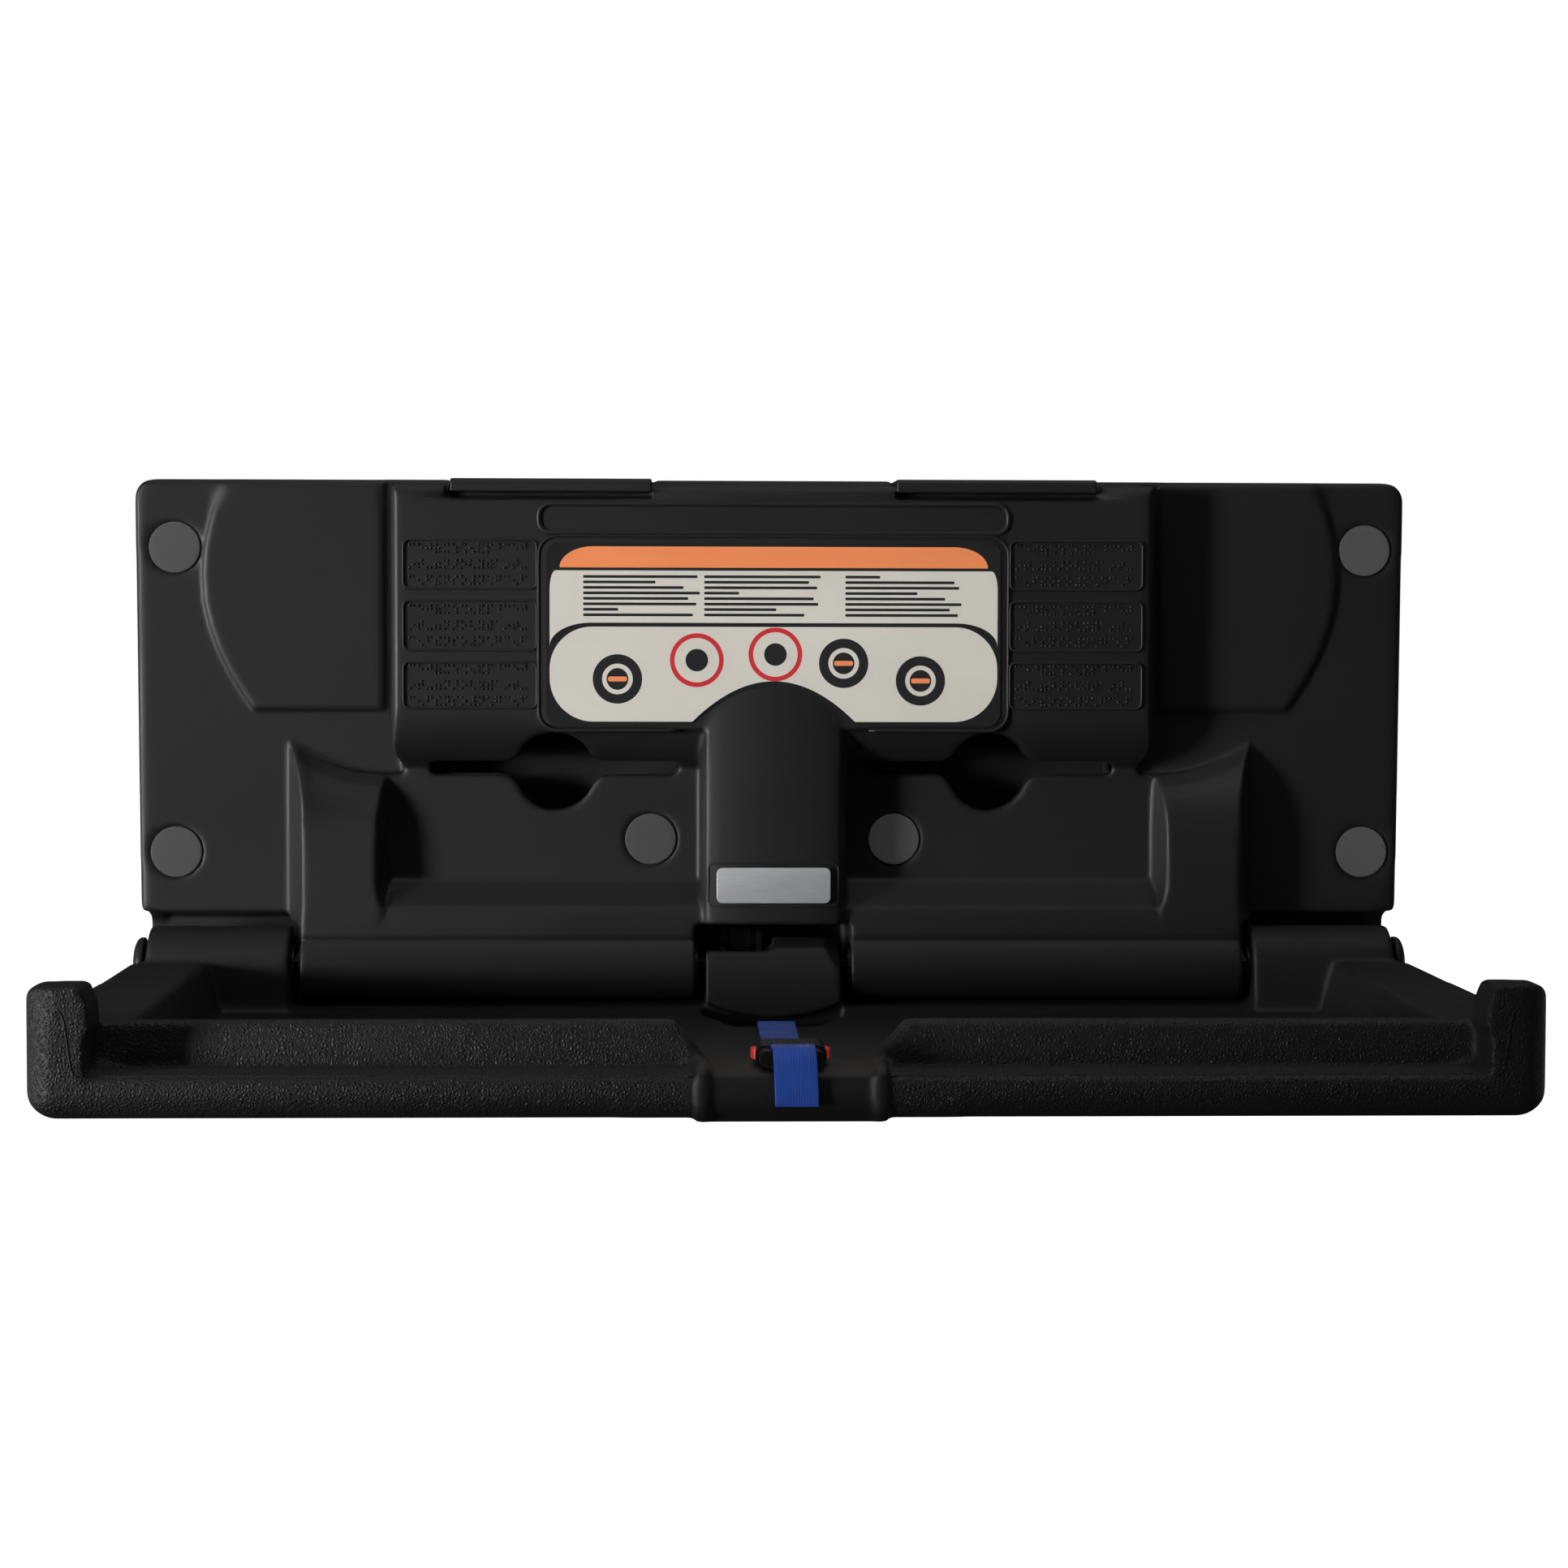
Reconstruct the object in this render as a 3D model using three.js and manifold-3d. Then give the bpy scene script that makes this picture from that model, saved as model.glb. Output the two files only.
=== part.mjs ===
import * as THREE from 'three';
import { mergeVertices } from 'three/addons/utils/BufferGeometryUtils.js';
import Module from 'manifold-3d';

// Wall-mounted baby changing station with its bed folded down, in millimetres, +Z up.
// x runs across the wall, z = 0 is the hinge axis, and p is the distance out from the wall (y = -p).

const gap = 0.3;               // between pieces that touch
const skin = 4;                // wall of the hollow moulding
const arcStep = 15;            // degrees for one facet of a rounded corner

const hinge = { p: 55, rod: 7, rodHalf: 437, bore: 9.3, capRadius: 19, capStart: 434.3, capEnd: 442 };
const sleeve = { length: 12, flange: 1.7, flangeRadius: 13.3 };
const backPanel = { half: 437, bottom: -46, top: 332.5, thickness: 3, corner: 10 };
const panel = { halfTop: 442.4, halfBottom: 440, top: 336.4, bottom: 35, face: 42, corner: 12 };
const hollowTop = 323.5;       // ceiling of the hollow inside the wall moulding
const flange = { half: 437, bottom: -46, face: 24 };
const block = {
  half: 257, top: 332.5, face: 76, edge: 10, topEdge: 8, curlZ: 180, curlRadius: 46.9, curlSweep: 63.5,
};
const labelSeat = { half: 160, bottom: 164, top: 296, corner: 12, face: 76.6 };
const recess = { p: 49, half: 265.6, top: 140, endTop: 132.4, bottom: 59, join: 6 };
const apron = { half: 326, p: 73, top: 40, bottom: 21, webBottom: -20 };
const roll = { inner: 54, outer: 326, radius: 24 };
const column = { half: 50, bottom: 29.3, bulge: 4, corner: 9, bay: 53.9, web: 4 };
const padRise = 3.5;
const buttress = {
  foot: 29, waist: 65, roll: 3.5, flare: 4, steps: 9, pinch: [[40, 6], [46, 2.6], [53, 0.7]],
};
// Lines down the buttress, outer side first: x below, x at the top, front, top, depth at the top.
const buttressLines = [
  [336, 336, 42.2, 155, 42], [324.4, 334.8, 73, 154.4, 42.6], [316.5, 321, 73, 146, 43.4],
  [308, 311.3, 73, 141, 44.5], [296, 297.3, 73, 136, 46], [284, 284, 73, 133.2, 47.2],
  [273.4, 268.2, 73, 132.4, 48.5], [265.6, 265.6, 48.9, 132, 48.5],
];
const screws = [[414.6, 289, 42], [414.6, 77.5, 42], [84.8, 87, 49]];   // x, z and face of each boss
const cap = { radius: 17.75, thickness: 3.4, seat: 3, bore: 4.5, pad: 20, padDepth: 8, tube: 10 };
const slot = { near: 65, far: 238, low: 132.5, high: 141.5, x: 150.7, z: 134.4, radius: 27, fillet: 14 };
const bin = {
  near: 66, far: 237, wall: 2, bottom: 104, top: 323, back: 12, toe: 40.5, toeTop: 140, bendP: 64, bendZ: 172,
  front: 71, frontLow: 190,
};
const lid = {
  near: 84, far: 222, pinP: 20, pinZ: 331.5, barrel: 3.6, pin: 1.5, top: 336.3, front: 79.3, lip: 327,
};
const lidWell = { clear: 1.5, back: 12.5, grooveFront: 27, grooveFloor: 327.1, mouthBack: 28, mouthFront: 70 };
const plate = {
  half: 39.2, bottom: 44.8, top: 69.2, seatHalf: 43.4, seatBottom: 42.2, seatTop: 72, seatP: 81.2, face: 82.4,
};
const label = { half: 156.8, bottom: 167.4, top: 292.6, thickness: 0.8, corner: 8 };

const spring = {
  x: -22, p: 38, tube: 10, wall: 1.5, rod: 4, low: 44, high: 165, crown: 4, eyeZ: 180, eyeRadius: 9, eyeHalf: 5,
  piston: 8, rodTop: 148, rodFoot: 26.3, pin: 4, cheekIn: 6.5, cheek: 3,
};
const crank = { pinZ: 17, near: -7.5, far: -36.5, thickness: 4, hub: 13, eye: 8 };
const yoke = { back: 23, front: 46, half: 7, rise: 9, trackBack: 26.4, trackFront: 42.6, trackHalf: 5.1 };

const bed = {
  halfFront: 447, halfRear: 442, rear: 33, front: 459, bottom: -50.8, edge: 16, planCorner: 22,
  rim: 3.5, ledge: -22, parting: -25, band: 419, postTop: 28, postHalf: 408, postFoot: 397,
};
const tray = {
  halfTop: 389, halfFloor: 378, rear: 72, front: 399, frontTop: 404, floor: -31.5, rearFloor: -27,
};
const knuckle = { inner: 333, outer: 431, radius: 27 };
const prow = { half: 46.5, front: 82.5, top: 20, lowTop: 11, chin: 74, lip: -24, drop: 10.5 };
const prowBevel = { normal: [-0.726, 0.378, -0.575], offset: -62.65 };   // slanted face on its right end
const well = { half: 50, side: 84, tip: 26, front: 148, floor: -41 };
const notch = { halfTop: 69, halfFloor: 48, floor: -21.5 };
const bead = { inner: 49, outer: 56, proud: 2.3 };
const webbing = { half: 12.7, thickness: 1.6, root: -46, rearP: 140, frontP: 442.75, tailX: 2 };
const buckle = { half: 21, back: 404, split: 438, front: 456, low: -20.7, high: -9, wall: 2.4, bar: 409 };
const window = { back: 414, front: 432 };    // openings in the buckle's sides for the release tabs
const beyond = 600;            // how far a cutting tool runs past the solid
const ground = -60;            // below the lowest point

const wasm = await Module();
wasm.setup();

function toSolid(geometry) {
  geometry.deleteAttribute('normal');
  geometry.deleteAttribute('uv');
  const merged = mergeVertices(geometry, 1e-4);
  return new wasm.Manifold(new wasm.Mesh({
    numProp: 3,
    vertProperties: new Float32Array(merged.attributes.position.array),
    triVerts: new Uint32Array(merged.index.array),
  }));
}

const unite = (solids) => solids.reduce((whole, next) => whole.add(next));
const cut = (solid, tools) => tools.reduce((rest, tool) => rest.subtract(tool), solid);
const bothSides = (make) => [-1, 1].map(make);

// Outline through corners [u, v, radius]; a corner with a radius is rounded by an arc.
function outline(corners) {
  const points = [];
  corners.forEach(([u, v, radius = 0], i) => {
    const here = new THREE.Vector2(u, v);
    if (!radius) {
      points.push(here);
      return;
    }
    const before = new THREE.Vector2(...corners.at(i - 1).slice(0, 2)).sub(here).normalize();
    const after = new THREE.Vector2(...corners[(i + 1) % corners.length].slice(0, 2)).sub(here).normalize();
    const half = before.angleTo(after) / 2;
    const centre = before.clone().add(after).normalize().multiplyScalar(radius / Math.sin(half)).add(here);
    const start = before.multiplyScalar(radius / Math.tan(half)).add(here).sub(centre);
    const end = after.multiplyScalar(radius / Math.tan(half)).add(here).sub(centre);
    const sweep = Math.atan2(start.cross(end), start.dot(end));
    const steps = Math.max(2, Math.ceil(Math.abs(THREE.MathUtils.radToDeg(sweep)) / arcStep));
    for (let s = 0; s <= steps; s += 1) {
      points.push(start.clone().rotateAround(new THREE.Vector2(), (sweep * s) / steps).add(centre));
    }
  });
  return points;
}

const circle = (u, v, radius, steps = 32) => Array.from({ length: steps }, (_, i) => {
  const angle = (i * 2 * Math.PI) / steps;
  return new THREE.Vector2(u + radius * Math.cos(angle), v + radius * Math.sin(angle));
});

function arc(u, v, radius, from, to, steps) {
  return Array.from({ length: steps + 1 }, (_, i) => {
    const angle = THREE.MathUtils.degToRad(from + ((to - from) * i) / steps);
    return [u + radius * Math.cos(angle), v + radius * Math.sin(angle)];
  });
}

function extrude(points, depth, ...basis) {
  const shape = new THREE.Shape(points);
  const geometry = new THREE.ExtrudeGeometry(shape, { depth, bevelEnabled: false, curveSegments: 1 });
  return geometry.applyMatrix4(new THREE.Matrix4().makeBasis(...basis));
}

const axes = { x: new THREE.Vector3(1, 0, 0), y: new THREE.Vector3(0, 1, 0), z: new THREE.Vector3(0, 0, 1) };
const minus = (axis) => axis.clone().negate();

// A (p, z) section carried across the wall from x0 to x1.
function alongX(section, x0, x1) {
  const [low, high] = x0 < x1 ? [x0, x1] : [x1, x0];
  return toSolid(extrude(section, high - low, minus(axes.y), axes.z, minus(axes.x)).translate(high, 0, 0));
}

// A front view outline (x, z) carried out from the wall from p0 to p1.
function alongY(front, p0, p1) {
  return toSolid(extrude(front, p1 - p0, axes.x, axes.z, minus(axes.y)).translate(0, -p0, 0));
}

// A plan outline (x, p) raised from z0 to z1.
function alongZ(plan, z0, z1) {
  const points = plan.map(({ x, y }) => new THREE.Vector2(x, -y));
  return toSolid(extrude(points, z1 - z0, axes.x, axes.y, axes.z).translate(0, 0, z0));
}

const boxSolid = (x0, x1, p0, p1, z0, z1) => alongX(outline([[p0, z0], [p1, z0], [p1, z1], [p0, z1]]), x0, x1);

// Closed skin over rings of equal length; each ring is a list of [x, p, z] and the ends are flat.
function loft(rings) {
  const count = rings[0].length;
  const flat = rings.map((ring) => ring.map(([x, p, z]) => new THREE.Vector3(x, -p, z)));
  const index = [];
  for (let r = 0; r + 1 < rings.length; r += 1) {
    for (let i = 0; i < count; i += 1) {
      const a = r * count + i;
      const b = r * count + ((i + 1) % count);
      index.push(a, b, a + count, b, b + count, a + count);
    }
  }
  const normal = flat[0].reduce((sum, point, i) => {
    return sum.add(point.clone().sub(flat[0][0]).cross(flat[0][(i + 1) % count].clone().sub(flat[0][0])));
  }, new THREE.Vector3()).normalize();
  const side = Math.abs(normal.x) > 0.5 ? ({ y, z }) => [y, z] : ({ x, y }) => [x, y];
  const turn = THREE.ShapeUtils.area(flat[0].map((v) => new THREE.Vector2(...side(v)))) > 0;
  const lid0 = THREE.ShapeUtils.triangulateShape(flat[0].map((v) => new THREE.Vector2(...side(v))), []);
  const last = (rings.length - 1) * count;
  const lidEnd = THREE.ShapeUtils.triangulateShape(flat.at(-1).map((v) => new THREE.Vector2(...side(v))), []);
  lid0.forEach(([a, b, c]) => index.push(...(turn ? [a, c, b] : [a, b, c])));
  lidEnd.forEach(([a, b, c]) => index.push(...(turn ? [a, b, c] : [a, c, b]).map((i) => i + last)));
  const geometry = new THREE.BufferGeometry().setFromPoints(flat.flat());
  geometry.setIndex(index);
  const travel = flat.at(-1)[0].clone().sub(flat[0][0]);
  const outward = normal.dot(travel) > 0;
  if (!outward) {
    geometry.setIndex(index.map((_, i) => index[i - (i % 3) + [0, 2, 1][i % 3]]));
  }
  return toSolid(geometry);
}

const revolve = (profile, steps = 32) => new THREE.LatheGeometry(
  profile.map(([r, h]) => new THREE.Vector2(r, h)), steps);

// A turned piece with its axis across the wall, its profile heights measured from x0 outwards.
function turnedX(profile, x0, side, p, z, steps) {
  const geometry = revolve(profile, steps).rotateZ(-side * Math.PI / 2);
  return toSolid(geometry.translate(side * x0, -p, z));
}

const rodX = (x0, x1, p, z, radius, steps = 16) => alongX(circle(p, z, radius, steps), x0, x1);
const rodY = (x, z, radius, p0, p1, steps = 16) => alongY(circle(x, z, radius, steps), p0, p1);

// Wall moulding

function blockForm(inset, back) {
  const [face, half] = [block.face - inset, block.half - inset];
  const curlP = block.face - block.curlRadius;
  const curl = arc(curlP, block.curlZ, block.curlRadius - inset, -block.curlSweep, 0, 8);
  const top = inset ? hollowTop : block.top;
  const section = outline([[back, curl[0][1]], ...curl, [face, top, inset ? 0 : block.topEdge], [back, top]]);
  if (inset) {
    return alongX(section, -half, half);
  }
  const plan = outline([[-half, back], [-half, face, block.edge], [half, face, block.edge], [half, back]]);
  return alongX(section, -half, half).intersect(alongZ(plan, ground, beyond));
}

function panelForm(inset, back) {
  const [a, b] = [panel.halfTop - inset, panel.halfBottom - inset];
  const top = inset ? hollowTop : panel.top;
  const front = outline([[-b, panel.bottom + inset], [b, panel.bottom + inset], [a, top, panel.corner],
    [-a, top, panel.corner]]);
  return alongY(front, back, panel.face - inset);
}

// Cove and apron above the hinge rolls, with the recessed face up to top when top is given.
function apronForm(inset, back, x0, x1, top) {
  const [deep, out, crest] = [recess.p - inset, apron.p - inset, apron.top - inset / 2];
  const face = top ? [[back, top], [deep, top], [deep, recess.bottom - inset / 2, 6]] : [[back, crest]];
  return alongX(outline([
    ...face, [out - 1, crest, 7], [out, apron.bottom + inset], [out - 4, apron.bottom - 4 + inset],
    [hinge.p, apron.bottom - 4 + inset], [hinge.p, apron.webBottom + inset], [back, apron.webBottom + inset],
  ]), x0, x1);
}

// The recessed face and apron of one half; their hollow reaches up into the block.
function lowerForms(side, inset, back) {
  const span = (near, far, top) => apronForm(inset, back, side * near, side * far, top);
  if (inset) {
    const under = block.half - inset;
    return [span(roll.inner + inset, under, recess.top + recess.join),
      span(under - 1, recess.half - inset, recess.endTop - inset), span(under, apron.half - inset)];
  }
  return [span(0, block.half - 1, recess.top), span(block.half - 2, recess.half, recess.endTop),
    span(roll.inner, apron.half)];
}

// The column leans back into the block at its top, so its face meets the block in an arch.
function columnForm(inset, back, foot, rings = 10, facets = 8) {
  const face = new THREE.SplineCurve([[foot, 81.5], [100, 83], [150, 82.6], [168, 81], [185, 78.5], [198, 76],
    [214, 68]].map(([z, p]) => new THREE.Vector2(z, p)));
  const half = column.half - inset;
  return loft(Array.from({ length: rings + 1 }, (_, i) => {
    const { x: z, y } = face.getPoint(i / rings);
    const out = y - inset;
    const nose = arc(0, 0, 1, 150, 30, facets).map(([u, v]) => [u / Math.cos(Math.PI / 6), 2 * v - 1]);
    const corner = out - column.bulge - column.corner;
    const front = nose.map(([u, v]) => [u * (half - 4), out - column.bulge * (1 - v)]);
    return [[-half, back], [-half, corner], ...front, [half, corner], [half, back]].map(([x, p]) => [x, p, z]);
  }));
}

// Buttress beside the recessed face: its front rolls back to an edge that ends in a point on the panel.
function buttressForm(side, inset, back) {
  const last = buttressLines.length - 1;
  const steps = inset ? 5 : buttress.steps;
  // How far line i moves to leave the wall: outer lines inwards, the two inner ones outwards.
  const pull = (i) => (i < 2 ? (0.7 * i - 2) * inset : Math.max(0, i - last + 1.7) * inset);
  return loft(buttressLines.map(([low, high, front, top, deep], i) => {
    const [out, inner, roof] = [front - inset, deep - inset, top - 1.4 * inset];
    const at = (x, p, z) => [side * (x + pull(i)), p, z];
    const pinched = i === last - 1 ? 1 : 0;
    const foot = inset ? [] : buttress.pinch.map(([z, reach]) => at(low - pinched * reach, out, z));
    const sweep = Array.from({ length: steps }, (_, s) => {
      const rise = s / (steps - 1);
      const x = low + (high - low) * rise ** buttress.flare;
      const p = out - (out - inner) * rise ** buttress.roll;
      return at(x, p, buttress.waist + (roof - buttress.waist) * rise);
    });
    return [at(low, back, buttress.foot + inset), at(low, out, buttress.foot + inset), ...foot, ...sweep,
      at(high, back, roof)];
  }));
}

function dPad(side) {
  const shape = new THREE.Shape().moveTo(270, 177).lineTo(360, 177)
    .bezierCurveTo(386, 214, 412, 262, 380, 334.5).lineTo(270, 334.5);
  const points = shape.getPoints(9).map(({ x, y }) => new THREE.Vector2(side * x, y));
  return alongY(points, panel.face - 2, panel.face + padRise);
}

function slotOpening(side, p0, p1) {
  const corner = (edge, sign) => {
    const rise = edge + sign * slot.fillet - slot.z;
    const reach = Math.sqrt((slot.radius + slot.fillet) ** 2 - rise ** 2);
    return { x: reach, z: edge + sign * slot.fillet, lean: THREE.MathUtils.radToDeg(Math.atan2(rise, reach)) };
  };
  const [low, high] = [corner(slot.low, -1), corner(slot.high, 1)];
  const middle = (slot.low + slot.high) / 2;
  const end = (slot.high - slot.low) / 2;
  const points = [
    ...arc(slot.near + end, middle, end, 90, 270, 4),
    ...arc(slot.x - low.x, low.z, slot.fillet, 90, -low.lean, 4),
    ...arc(slot.x, slot.z, slot.radius, 180 - low.lean, 360 + low.lean, 11),
    ...arc(slot.x + low.x, low.z, slot.fillet, 180 + low.lean, 90, 4),
    ...arc(slot.far - end, middle, end, -90, 90, 4),
    ...arc(slot.x + high.x, high.z, slot.fillet, 270, 180 + high.lean, 4),
    ...arc(slot.x, slot.z, slot.radius, high.lean, 180 - high.lean, 9),
    ...arc(slot.x - high.x, high.z, slot.fillet, -high.lean, -90, 4),
  ];
  return alongY(points.map(([x, z]) => new THREE.Vector2(side * x, z)), p0, p1);
}

function screwBoss([x, z, face], side) {
  const pad = rodY(side * x, z, cap.pad, face - cap.padDepth, face - 0.5);
  return pad.add(rodY(side * x, z, cap.tube, backPanel.thickness + gap, face - cap.padDepth + 1, 12));
}

function screwSeat([x, z, face], side) {
  const seat = rodY(side * x, z, cap.radius + 0.4, face - cap.seat, face + beyond, 32);
  return seat.add(rodY(side * x, z, cap.bore, -5, face, 12));
}

function wallShell() {
  const back = backPanel.thickness + gap;
  const outer = unite([
    panelForm(0, back), blockForm(0, back), ...bothSides((side) => lowerForms(side, 0, back)).flat(),
    boxSolid(-flange.half, flange.half, back, flange.face, flange.bottom, panel.bottom + 2),
    ...bothSides((side) => rodX(side * roll.inner, side * roll.outer, hinge.p, 0, roll.radius, 36)),
    ...bothSides((side) => buttressForm(side, 0, back)),
    ...bothSides(dPad),
  ]).subtract(boxSolid(-column.bay, column.bay, back + column.web, beyond, ground, column.bottom))
    .add(columnForm(0, back, column.bottom))
    .add(alongY(outline([[-labelSeat.half, labelSeat.bottom, labelSeat.corner],
      [labelSeat.half, labelSeat.bottom, labelSeat.corner], [labelSeat.half, labelSeat.top, labelSeat.corner],
      [-labelSeat.half, labelSeat.top, labelSeat.corner]]), 60, labelSeat.face));
  const hollow = [
    panelForm(skin, -1), blockForm(skin, -1), columnForm(skin, -1, column.bottom - 6, 5, 4),
    ...bothSides((side) => lowerForms(side, skin, -1)).flat(),
    ...bothSides((side) => rodX(side * (roll.inner + skin), side * (roll.outer - skin), hinge.p, 0,
      roll.radius - skin)),
    ...bothSides((side) => buttressForm(side, skin, -1)),
    ...bothSides((side) => boxSolid(side * (column.bay + skin), side * (flange.half - skin), -1,
      flange.face - skin, flange.bottom + skin, panel.bottom + 10)),
  ];
  const bosses = screws.flatMap((screw) => bothSides((side) => screwBoss(screw, side)));
  const openings = [
    rodX(-roll.outer - 5, roll.outer + 5, hinge.p, 0, hinge.bore),
    ...screws.flatMap((screw) => bothSides((side) => screwSeat(screw, side))),
    ...bothSides((side) => slotOpening(side, 30, 100)),
    ...bothSides((side) => boxSolid(side * (lid.near + 2), side * (lid.far - 2), lidWell.mouthBack,
      lidWell.mouthFront, hollowTop - 5, beyond)),
    ...bothSides((side) => boxSolid(side * (lid.near - lidWell.clear), side * (lid.far + lidWell.clear),
      lidWell.back, 60, block.top, beyond)),
    ...bothSides((side) => boxSolid(side * (lid.near - lidWell.clear), side * (lid.far + lidWell.clear),
      lidWell.back, lidWell.grooveFront, lidWell.grooveFloor, beyond)),
    ...bothSides((side) => rodX(side * (lid.near - 5.5), side * (lid.far + 5.5), lid.pinP, lid.pinZ,
      lid.pin + gap, 12)),
    alongY(outline([[-plate.seatHalf, plate.seatBottom, 4], [plate.seatHalf, plate.seatBottom, 4],
      [plate.seatHalf, plate.seatTop, 4], [-plate.seatHalf, plate.seatTop, 4]]), plate.seatP, beyond),
  ];
  return cut(cut(outer, hollow).add(unite(bosses)), openings);
}

function backPanelForm() {
  const { half, bottom, top, corner } = backPanel;
  const sheet = alongY(outline([[-half, bottom, corner], [half, bottom, corner], [half, top, corner],
    [-half, top, corner]]), 0, backPanel.thickness);
  const holes = screws.flatMap(([x, z]) => bothSides((side) => rodY(side * x, z, cap.bore, -5, 10, 12)));
  return cut(sheet, holes);
}

function screwCap([x, z, face], side) {
  const [low, high] = [face - cap.seat + gap, face - cap.seat + gap + cap.thickness];
  const profile = [[0, low], [cap.radius, low], [cap.radius, high - 1], [cap.radius - 1.2, high - 0.2],
    [0, high]];
  return toSolid(revolve(profile, 32).rotateX(Math.PI).translate(side * x, 0, z));
}

function labelSheet() {
  const { half, bottom, top, corner, thickness } = label;
  const sheet = alongY(outline([[-half, bottom, corner], [half, bottom, corner], [half, top, corner],
    [-half, top, corner]]), labelSeat.face + gap, labelSeat.face + gap + thickness);
  return sheet.subtract(columnForm(-0.6, 0, column.bottom));
}

function columnPlate() {
  const { half, bottom, top } = plate;
  return alongY(outline([[-half, bottom, 4], [half, bottom, 4], [half, top, 4], [-half, top, 4]]),
    plate.seatP + gap, plate.face);
}

function linerBin(side) {
  const section = (w, top) => outline([[bin.back + w, bin.bottom + w], [bin.toe - w, bin.bottom + w],
    [bin.toe - w, bin.toeTop - w], [bin.bendP - w, bin.bendZ], [bin.front - w, bin.frontLow],
    [bin.front - w, top], [bin.back + w, top]]);
  const outer = alongX(section(0, bin.top), side * bin.near, side * bin.far);
  const inner = alongX(section(bin.wall, bin.top + 5), side * (bin.near + bin.wall),
    side * (bin.far - bin.wall));
  return outer.subtract(inner).subtract(slotOpening(side, 30, 100));
}

function lidCover(side) {
  const under = block.top + gap;
  const cover = alongX(outline([[lid.pinP, under], [block.face + gap, under], [block.face + gap, lid.lip, 1],
    [lid.front, lid.lip, 1], [lid.front, lid.top, 3.4], [lid.pinP, lid.top, 2]]), side * lid.near,
  side * lid.far);
  const barrel = rodX(side * (lid.near + 4), side * (lid.far - 4), lid.pinP, lid.pinZ, lid.barrel);
  return cover.add(barrel).subtract(rodX(0, side * beyond, lid.pinP, lid.pinZ, lid.pin + gap, 12));
}

// Hinge

function hingeCap(side) {
  const length = hinge.capEnd - hinge.capStart;
  const dome = arc(0, 0, 1, 0, 90, 4)
    .map(([u, v]) => [hinge.capRadius * (0.35 + 0.65 * u), length * (0.3 + 0.7 * v)]);
  const bore = hinge.rod + gap;
  const profile = [[0, 3], [bore, 3], [bore, 0], [hinge.capRadius, 0], ...dome, [0, length]];
  return turnedX(profile, hinge.capStart, side, hinge.p, 0, 24);
}

// Flanged sleeve; it enters the moulding away from its flange.
function bushing(x, towards) {
  const body = rodX(x, x + towards * sleeve.length, hinge.p, 0, hinge.bore - gap);
  const disc = rodX(x, x - towards * sleeve.flange, hinge.p, 0, sleeve.flangeRadius);
  return body.add(disc).subtract(rodX(-beyond, beyond, hinge.p, 0, hinge.rod + gap));
}

// Gas spring in the column

// A turned piece standing upright on the spring's axis.
const turnedUp = (profile, steps) => toSolid(
  revolve(profile, steps).rotateX(Math.PI / 2).translate(spring.x, -spring.p, 0));

const springEyeBore = () => rodX(-beyond, beyond, spring.p, spring.eyeZ, spring.pin + gap);

function springCylinder() {
  const { low, high, tube, wall, rod, crown } = spring;
  const body = turnedUp([[rod + gap, low], [tube, low], [tube, high - 2], [tube - 2, high], [0, high],
    [0, high - crown], [tube - wall, high - crown], [tube - wall, low + crown], [rod + gap, low + crown],
    [rod + gap, low]], 20);
  const [x0, x1] = [spring.x - spring.eyeHalf, spring.x + spring.eyeHalf];
  const eye = rodX(x0, x1, spring.p, spring.eyeZ, spring.eyeRadius, 20)
    .add(boxSolid(x0, x1, spring.p - 6, spring.p + 6, high - 3, spring.eyeZ));
  return body.add(eye).subtract(springEyeBore());
}

function springBracket() {
  const back = backPanel.thickness + gap;
  const { x, p, eyeZ, cheekIn, cheek } = spring;
  const foot = boxSolid(x - 12, x + 12, back, back + cheek, eyeZ - 20, eyeZ + 20);
  const side = outline([[back, eyeZ - 12], [p + 9, eyeZ - 9, 8], [p + 9, eyeZ + 9, 8], [back, eyeZ + 12]]);
  const cheeks = [x - cheekIn - cheek, x + cheekIn].map((x0) => alongX(side, x0, x0 + cheek));
  return unite([foot, ...cheeks]).subtract(springEyeBore());
}

const springRod = () => turnedUp([
  [0, spring.rodFoot], [spring.rod, spring.rodFoot], [spring.rod, spring.rodTop - 8],
  [spring.piston, spring.rodTop - 8], [spring.piston, spring.rodTop], [0, spring.rodTop]], 16);

// The yoke's slot is as long as the crank pin's path is deep, so the pin slides along it.
function rodYoke() {
  const frame = (back, front, rise, radius) => outline([[back, crank.pinZ - rise, radius],
    [front, crank.pinZ - rise, radius], [front, crank.pinZ + rise, radius], [back, crank.pinZ + rise, radius]]);
  const body = alongX(frame(yoke.back, yoke.front, yoke.rise, 4), spring.x - yoke.half, spring.x + yoke.half);
  return body.subtract(alongX(frame(yoke.trackBack, yoke.trackFront, yoke.trackHalf, 5), -beyond, beyond));
}

function crankCheek(x0, x1) {
  const arm = outline([[47, 11], [33, 21], [31, 13], [44, -8], [69.5, -11.5, 2], [69.5, 0], [64, 10]]);
  const hub = rodX(x0, x1, hinge.p, 0, crank.hub, 20);
  const eye = rodX(x0, x1, spring.p, crank.pinZ, crank.eye);
  return cut(unite([hub, eye, alongX(arm, x0, x1)]), [
    rodX(-beyond, beyond, hinge.p, 0, hinge.rod + gap),
    rodX(-beyond, beyond, spring.p, crank.pinZ, spring.pin + gap),
  ]);
}

// Bed

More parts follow.
